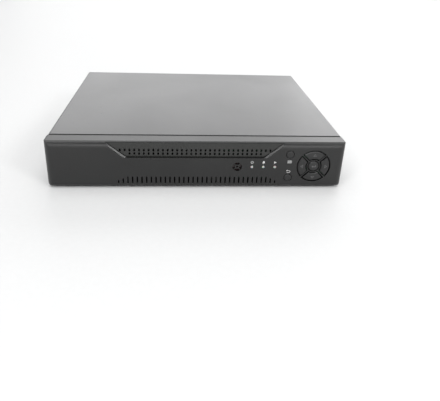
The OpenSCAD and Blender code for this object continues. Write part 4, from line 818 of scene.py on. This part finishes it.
# ---------------------------------------------------------------- main board population, seen with the cover lifted
rng = random.Random(7)
blocked = [(-50, 22, -6, 66), (-66, 28, -48, 60), (-12, 28, 3, 60), (3, 34, 98, 54), (-92, 36, -76, 52), (-78, 10, -64, 22), (-110, 22, -84, 48),
           (-120, 26, -108, 48), (-106, 8, -88, 22), (-51, 15, -41, 25), (11, 21, 21, 31), (47, 21, 57, 31), (83, 21, 93, 31), (57, 3, 83, 29),
           (29, 5, 43, 19), (-64, 1, -44, 11), (-28, 0, -11, 10), (90, 1, 110, 11), (110, 10, 120, 20), (-122, 68, 122, 90)]
for hx in (-116, 0, 116, -116, 26, 116):
    blocked.append((hx - 4, 1, hx + 4, 9))
for hx in (-116, 26, 116):
    blocked.append((hx - 4, 48, hx + 4, 56))
bodies_dark, bodies_tan, ends, taken = Kit(), Kit(), Kit(), []
tries = 0
while len(taken) < 190 and tries < 6000:
    tries += 1
    u, v = round(rng.uniform(-118, 118) / 1.27) * 1.27, round(rng.uniform(3, 67) / 1.27) * 1.27
    flip = rng.random() < 0.5
    big = rng.random() < 0.18
    lx, ly, hz = (3.2, 1.6, 0.9) if big else (1.6, 0.85, 0.55)
    if flip:
        lx, ly = ly, lx
    x0, x1, y0, y1 = u - lx / 2 - 0.5, u + lx / 2 + 0.5, v - ly / 2 - 0.5, v + ly / 2 + 0.5
    if any(x0 < b[2] and x1 > b[0] and y0 < b[3] and y1 > b[1] for b in blocked + taken):
        continue
    taken.append((x0, y0, x1, y1))
    kit = bodies_dark if rng.random() < 0.5 else bodies_tan
    yy = BY0 + v
    if flip:
        kit.box(u - lx / 2, u + lx / 2, yy - ly / 2 + 0.3, yy + ly / 2 - 0.3, PCB, PCB + hz, 0.05)
        for s in (-1, 1):
            ends.box(u - lx / 2 - 0.04, u + lx / 2 + 0.04, yy + s * (ly / 2 - 0.15) - 0.16, yy + s * (ly / 2 - 0.15) + 0.16, PCB, PCB + hz + 0.03, 0.06)
    else:
        kit.box(u - lx / 2 + 0.3, u + lx / 2 - 0.3, yy - ly / 2, yy + ly / 2, PCB, PCB + hz, 0.05)
        for s in (-1, 1):
            ends.box(u + s * (lx / 2 - 0.15) - 0.16, u + s * (lx / 2 - 0.15) + 0.16, yy - ly / 2 - 0.04, yy + ly / 2 + 0.04, PCB, PCB + hz + 0.03, 0.06)
bodies_dark.make("board_resistors", M["epoxy"], smooth=30)
bodies_tan.make("board_ceramics", M["nylon"], smooth=30)
for k in range(4):    # gull-wing leads of the four converters
    x0, x1 = 5 + 26 * k, 17 + 26 * k
    for j in range(14):
        t = 0.9 + j * 0.785
        ends.box(x0 + t - 0.12, x0 + t + 0.12, BY0 + 36.9, BY0 + 38.1, PCB + 0.01, PCB + 0.3, 0.03)
        ends.box(x0 + t - 0.12, x0 + t + 0.12, BY0 + 49.9, BY0 + 51.1, PCB + 0.01, PCB + 0.3, 0.03)
        ends.box(x0 - 1.1, x0 + 0.1, BY0 + 38 + t - 0.12, BY0 + 38 + t + 0.12, PCB + 0.01, PCB + 0.3, 0.03)
        ends.box(x1 - 0.1, x1 + 1.1, BY0 + 38 + t - 0.12, BY0 + 38 + t + 0.12, PCB + 0.01, PCB + 0.3, 0.03)
for j in range(8):
    x = -87.5 + j * 0.93
    ends.box(x - 0.15, x + 0.15, BY0 + 38.9, BY0 + 40.1, PCB + 0.01, PCB + 0.3, 0.03)
    ends.box(x - 0.15, x + 0.15, BY0 + 47.9, BY0 + 49.1, PCB + 0.01, PCB + 0.3, 0.03)
ends.make("board_solder_ends", M["tin"], smooth=30)
kit = Kit()   # silk-screen outlines and pin-one dots
def silk_rect(x0, y0, x1, y1, t=0.18):
    kit.box(x0, x1, BY0 + y0, BY0 + y0 + t, PCB - 0.02, PCB + 0.025, 0.005)
    kit.box(x0, x1, BY0 + y1 - t, BY0 + y1, PCB - 0.02, PCB + 0.025, 0.005)
    kit.box(x0, x0 + t, BY0 + y0 + t, BY0 + y1 - t, PCB - 0.02, PCB + 0.025, 0.005)
    kit.box(x1 - t, x1, BY0 + y0 + t, BY0 + y1 - t, PCB - 0.02, PCB + 0.025, 0.005)
for k in range(4):
    silk_rect(3.2 + 26 * k, 36.2, 18.8 + 26 * k, 51.8)
silk_rect(57.5, 3.5, 82.5, 28.5); silk_rect(-49, 23, -7, 65); silk_rect(-63.2, 1.6, -44.8, 10.6); silk_rect(-27, 1.2, -12, 9.6); silk_rect(91, 1.8, 109, 10); silk_rect(29, 5, 43, 19)
for col in range(8):
    silk_rect(BNC_X[col] - 8.2, 69.2, BNC_X[col] + 8.2, 70.2, 0.14)
kit.make("board_silk_screen", M["silk"], smooth=20)
kit = Kit()
for x, y, h in [(6.2 + 26 * k, 39.2, 1.4) for k in range(4)] + [(-62, 33.2, 1.1), (-62, 47.2, 1.1), (-9, 31.2, 1.1), (-9, 46.2, 1.1), (-87, 41, 1.2)]:
    kit.lathe([(0, -0.02), (0.42, -0.02), (0.42, 0.02), (0, 0.02)], lambda a, b, z, x=x, y=y, h=h: (x + a, BY0 + y + b, PCB + h + z), 16)
for x0, y0, w, h in [(8 + 26 * k, 43.5, 6, 1.4) for k in range(4)]:
    for j in range(3):
        kit.box(x0, x0 + w - j * 1.2, BY0 + y0 + 2.2 - j * 1.1, BY0 + y0 + 2.6 - j * 1.1, PCB + h - 0.02, PCB + h + 0.02, 0.005)
kit.make("chip_marks", M["print_grey"], smooth=20)
kit = Kit()   # crystal cans
for x, y in ((-56, 62), (2, 64), (-96, 60)):
    kit.add(*(lambda o: ([(x + u, BY0 + y + v, PCB) for u, v in o] + [(x + u, BY0 + y + v, PCB + 3.1) for u, v in o] + [(x + u * 0.93, BY0 + y + v * 0.9, PCB + 3.5) for u, v in o],
              [tuple(range(len(o)))[::-1], tuple(range(2 * len(o), 3 * len(o)))] + [(i, (i + 1) % len(o), len(o) + (i + 1) % len(o), len(o) + i) for i in range(len(o))]
              + [(len(o) + i, len(o) + (i + 1) % len(o), 2 * len(o) + (i + 1) % len(o), 2 * len(o) + i) for i in range(len(o))]))(rounded(-5.2, -2.1, 5.2, 2.1, 2.0, 6)))
kit.make("crystal_cans", M["stamped"], smooth=40)

# ---------------------------------------------------------------- disk drive trim
LZ = lid_hi[2]
kit = Kit()
dx0, dx1, dy0, dy1 = drv_lo[0], drv_hi[0], drv_lo[1], drv_hi[1]
spx, spy = dx0 + 52, (dy0 + dy1) / 2
for x, y in ((dx0 + 5, dy0 + 5), (dx0 + 5, dy1 - 5), (dx1 - 5, dy0 + 5), (dx1 - 5, dy1 - 5)):
    kit.lathe([(0, -0.85), (1.0, -0.85), (1.0, -0.5), (2.0, -0.45), (2.0, -0.05), (1.6, 0.25), (0.8, 0.3), (0.75, -0.2), (0, -0.2)], lambda a, b, h, x=x, y=y: (x + a, y + b, lid_lo[2] + 0.85 + h), 20)
kit.make("drive_lid_screws", M["steel"], smooth=40)
kit = Kit()
kit.prism(rounded(dx0 + 66, dy0 + 12, dx1 - 12, dy1 - 12, 3, 5), lambda u, v, d: (u, v, LZ + d), 0.005, 0.09)
kit.make("drive_label", M["paper"], smooth=30)
kit = Kit()
for j, (w, t) in enumerate(((34, 2.6), (44, 0.9), (40, 0.9), (46, 0.9), (28, 0.9))):
    kit.box(dx0 + 72, dx0 + 72 + w, dy1 - 20 - j * 4.4, dy1 - 20 - j * 4.4 + t, LZ + 0.07, LZ + 0.11, 0.005)
x = dx0 + 72
for j in range(34):
    w = (0.5, 0.9, 0.35, 1.3)[(j * 7 + j * j) % 4]
    kit.box(x, x + w, dy0 + 18, dy0 + 27, LZ + 0.07, LZ + 0.11, 0.005)
    x += w + 0.55
kit.make("drive_label_blocks", M["print_black"], smooth=30)

# ---------------------------------------------------------------- leads inside the case
data = catmull([(dx1 + 9.6, dy0 + 48, 9.6), (dx1 + 16, dy0 + 48, 10.6), (dx1 + 22, dy0 + 54, 22), (dx1 + 16, dy0 + 74, 35), (dx1 - 6, dy0 + 92, 37.5),
                (-30, dy0 + 100, 38), (-50, BY0 + 4, 34), (-54, BY0 + 6.1, 26.6)], 10)
flat_section = [(-3.4, -0.35), (-3.1, -0.62), (-1.9, -0.62), (-1.5, -0.42), (1.5, -0.42), (1.9, -0.62), (3.1, -0.62), (3.4, -0.35),
                (3.4, 0.35), (3.1, 0.62), (1.9, 0.62), (1.5, 0.42), (-1.5, 0.42), (-1.9, 0.62), (-3.1, 0.62), (-3.4, 0.35)]
kit = Kit()
kit.tube(data, flat_section)
kit.make("drive_data_lead", M["lead_red"], replaces=("drive_data_cable",), smooth=40, slot="lead_red")
kit = Kit()
kit.box(dx1 - 0.05, dx1 + 6.5, dy0 + 41.7, dy0 + 54.3, 6.9, 12.2, 0.3)
kit.box(dx1 + 6.4, dx1 + 10, dy0 + 43.2, dy0 + 52.8, 7.3, 11.8, 0.4)
kit.box(-60, -48, BY0 + 4.8, BY0 + 7.4, PCB + 2.1, 18.6, 0.25)
kit.box(-58.9, -49.1, BY0 + 4.2, BY0 + 8.0, 18.5, 27, 0.5)
for k in range(4):
    kit.box(-58.7, -49.3, BY0 + 3.95, BY0 + 4.3, 20 + k * 1.5, 20.8 + k * 1.5, 0.1)
kit.make("drive_data_plugs", M["black"], smooth=30)
power = catmull([(dx1 + 9.6, dy0 + 24, 9.6), (dx1 + 19, dy0 + 25.5, 10.5), (dx1 + 30, dy0 + 44, 14), (dx1 + 32, dy0 + 70, 20), (dx1 + 22, dy0 + 94, 28),
                 (dx1 + 2, BY0 - 0.5, 34), (6, BY0 + 1, 35), (-12, BY0 + 3.4, 32), (-19, BY0 + 5.2, 23.5)], 9)
for j, (key, name) in enumerate((("lead_yellow", "drive_power_wire_a"), ("lead_black", "drive_power_wire_b"), ("lead_red", "drive_power_wire_c"), ("lead_black", "drive_power_wire_d"))):
    kit = Kit()
    off = (j - 1.5) * 1.72
    wobble = [0.25 * math.sin(i * 0.21 + j * 1.7) * math.sin(math.pi * i / (len(power) - 1)) for i in range(len(power))]
    P = []
    for i, p in enumerate(power):
        t = (power[min(i + 1, len(power) - 1)] - power[max(i - 1, 0)]).normalized()
        s = Vector((0, 0, 1)).cross(t)
        s = s.normalized() if s.length > 0.05 else Vector((1, 0, 0))
        P.append(p + s * off + t.cross(s) * wobble[i])
    kit.tube(P, circle(0.78, 12))
    kit.make(name, M[key], replaces=("drive_power_cable",) if j == 0 else (), smooth=60)
kit = Kit()
kit.box(dx1 - 0.05, dx1 + 6.5, dy0 + 13.2, dy0 + 35.8, 6.9, 12.2, 0.3)
kit.box(dx1 + 6.4, dx1 + 10, dy0 + 15, dy0 + 34, 7.2, 11.9, 0.4)
kit.make("drive_power_plug", M["black"], smooth=30)
kit = Kit()
kit.box(-25, -14, BY0 + 3.4, BY0 + 7.2, PCB + 1.3, 19, 0.25)
kit.box(-24.6, -14.4, BY0 + 3.1, BY0 + 7.5, 18.9, 23.8, 0.4)
kit.make("board_power_plug", M["nylon"], smooth=30)
ribbon = catmull([(99, YS - 0.9, ZB + 12), (99, YS + 6, ZB + 12), (99, YS + 26, ZB + 8), (100, YS + 60, ZB + 9), (100, BY0 - 14, ZB + 20), (100, BY0 - 2, ZB + 24), (100, BY0 + 5.6, ZB + 19)], 10)
sec, n = [], 10
for k in range(n):
    for a in (150, 90, 30):
        sec.append(((k - (n - 1) / 2) * 1.02 + 0.5 * math.cos(math.radians(a)), 0.42 * math.sin(math.radians(a))))
for k in reversed(range(n)):
    for a in (-30, -90, -150):
        sec.append(((k - (n - 1) / 2) * 1.02 + 0.5 * math.cos(math.radians(a)), 0.42 * math.sin(math.radians(a))))
kit = Kit()
kit.tube(ribbon, sec)
kit.make("key_board_ribbon", M["ribbon"], replaces=("panel_ribbon",), smooth=50, slot="ribbon_grey")
kit = Kit()
kit.box(91.6, 106.4, YF + 10.45, YS - 0.8, ZB + 9.6, ZB + 14.4, 0.3)
kit.box(93, 107, BY0 + 4.0, BY0 + 7.8, PCB + 1.3, ZB + 15.5, 0.25)
kit.box(93.6, 106.4, BY0 + 3.6, BY0 + 8.2, ZB + 15.4, ZB + 19.4, 0.4)
kit.make("key_board_plugs", M["nylon"], smooth=30)
fan_lo, fan_hi = lohi("fan_frame")
for j, key in enumerate(("lead_red", "lead_black")):
    kit = Kit()
    kit.tube(catmull([(fan_lo[0] + 1.2, fan_hi[1] - 1.5 + j * 0.6, fan_lo[2] + 3), (fan_lo[0] - 1.5 - j, fan_hi[1] + 4, fan_lo[2] + 1.5), (fan_lo[0] - 3 - j * 1.3, fan_hi[1] + 16, ZB + 3.2),
                       (fan_lo[0] - 4 - j * 1.3, BY0 - 8, ZB + 9), (114.4 + j * 1.3, BY0 + 8, ZB + 16), (114.3 + j * 1.4, BY0 + 14.9, ZB + 14.5)], 8), circle(0.55, 10))
    kit.make("fan_wire_" + "ab"[j], M[key], smooth=60)
kit = Kit()
kit.box(112.9, 117.1, BY0 + 12.9, BY0 + 16.9, PCB + 1.3, ZB + 14.8, 0.25)
kit.make("fan_plug", M["nylon"], smooth=30)
kit = Kit()   # plain hub label of the fan wheel
fan_c = ((fan_lo[1] + fan_hi[1]) / 2, (fan_lo[2] + fan_hi[2]) / 2)
kit.lathe([(0, 0), (5.6, 0), (5.6, 0.08), (0, 0.08)], lambda a, b, h: (fan_hi[0] - 0.5 + h, fan_c[0] + a, fan_c[1] + b), 32)
kit.make("fan_hub_label", M["paper"], "fan_wheel", smooth=30)

# ---------------------------------------------------------------- floor, light and camera
floor_mesh = bpy.data.meshes.new("floor")
S = 4.0
floor_mesh.from_pydata([(-S, -S, 0), (S, -S, 0), (S, S, 0), (-S, S, 0)], [], [(0, 1, 2, 3)])
floor = bpy.data.objects.new("floor", floor_mesh)
bpy.context.scene.collection.objects.link(floor)
m = Mat("floor_pale")
speck = m.noise(220, 4.0, 0.6)
m.set(color=m.mix(m.span(speck, 0.0, 1.0, 0.3, 0.7), (0.635, 0.635, 0.632), (0.65, 0.65, 0.647)), rough=m.span(speck, 0.5, 0.6), spec=0.25)
floor_mesh.materials.append(m.mat)


def softbox(name, place, aim, width, height, radiance, tint=(1, 1, 1)):
    light = bpy.data.lights.new(name, "AREA")
    light.shape, light.size, light.size_y = "RECTANGLE", width, height
    light.energy = radiance * math.pi * width * height
    light.color = tint
    ob = bpy.data.objects.new(name, light)
    ob.location = place
    ob.rotation_euler = (Vector(aim) - Vector(place)).to_track_quat("-Z", "Y").to_euler()
    ob.visible_camera = False
    bpy.context.scene.collection.objects.link(ob)
    return ob


softbox("back_box", (0.35, 1.55, 0.80), (0.0, 0.0, 0.03), 2.6, 1.1, 2.3)
softbox("top_box", (-0.2, -0.1, 2.2), (0.0, 0.0, 0.0), 2.4, 2.4, 1.9)
softbox("back_right_box", (1.0, 1.6, 0.62), (0.1, 0.0, 0.03), 0.9, 0.8, 1.3)
softbox("front_box", (-0.1, -1.15, 1.65), (0.0, 0.0, 0.02), 2.0, 0.6, 2.8)
softbox("low_box", (0.1, -2.2, 0.29), (0.0, 0.0, 0.03), 2.4, 0.32, 6.0)
softbox("right_box", (1.0, -1.09, 0.95), (0.0, -0.11, 0.03), 0.4, 0.4, 18.0)
softbox("left_box", (-0.89, -1.16, 0.99), (0.0, -0.11, 0.03), 0.36, 0.36, 16.0)

world = bpy.data.worlds.new("studio")
bpy.context.scene.world = world
world.use_nodes = True
bg = world.node_tree.nodes.get("Background") or world.node_tree.nodes.new("ShaderNodeBackground")
bg.inputs[0].default_value = (0.95, 0.97, 1.0, 1)
bg.inputs[1].default_value = 0.30
out = world.node_tree.nodes.get("World Output") or world.node_tree.nodes.new("ShaderNodeOutputWorld")
world.node_tree.links.new(bg.outputs[0], out.inputs[0])

cam_data = bpy.data.cameras.new("camera")
cam = bpy.data.objects.new("camera", cam_data)
bpy.context.scene.collection.objects.link(cam)
F_PX, PX, PY = 456.84, 212.0, 140.0
W, H = 440.0, 401.0
cam_data.sensor_fit = "HORIZONTAL"
cam_data.sensor_width = 36.0
cam_data.lens = F_PX * 36.0 / W
cam_data.shift_x = (W / 2 - PX) / W
cam_data.shift_y = (PY - H / 2) / W
cam_data.clip_start = 0.01
pitch, roll, yaw = (math.radians(a) for a in (-23.677, -2.361, -4.82))
R = Matrix.Rotation(yaw, 3, "Z") @ Matrix.Rotation(pitch, 3, "X") @ Matrix.Rotation(roll, 3, "Y")
right, ahead, up = R.col[0], R.col[1], R.col[2]
basis = Matrix((right, up, -ahead)).transposed().to_4x4()
basis.translation = Vector((-18.419, -349.841 + YF, 197.748 + ZB)) * MM
cam.matrix_world = basis
bpy.context.scene.camera = cam

view = bpy.context.scene.view_settings
view.view_transform = "Standard"
view.look = "None"
view.exposure = 0.0
view.gamma = 1.0
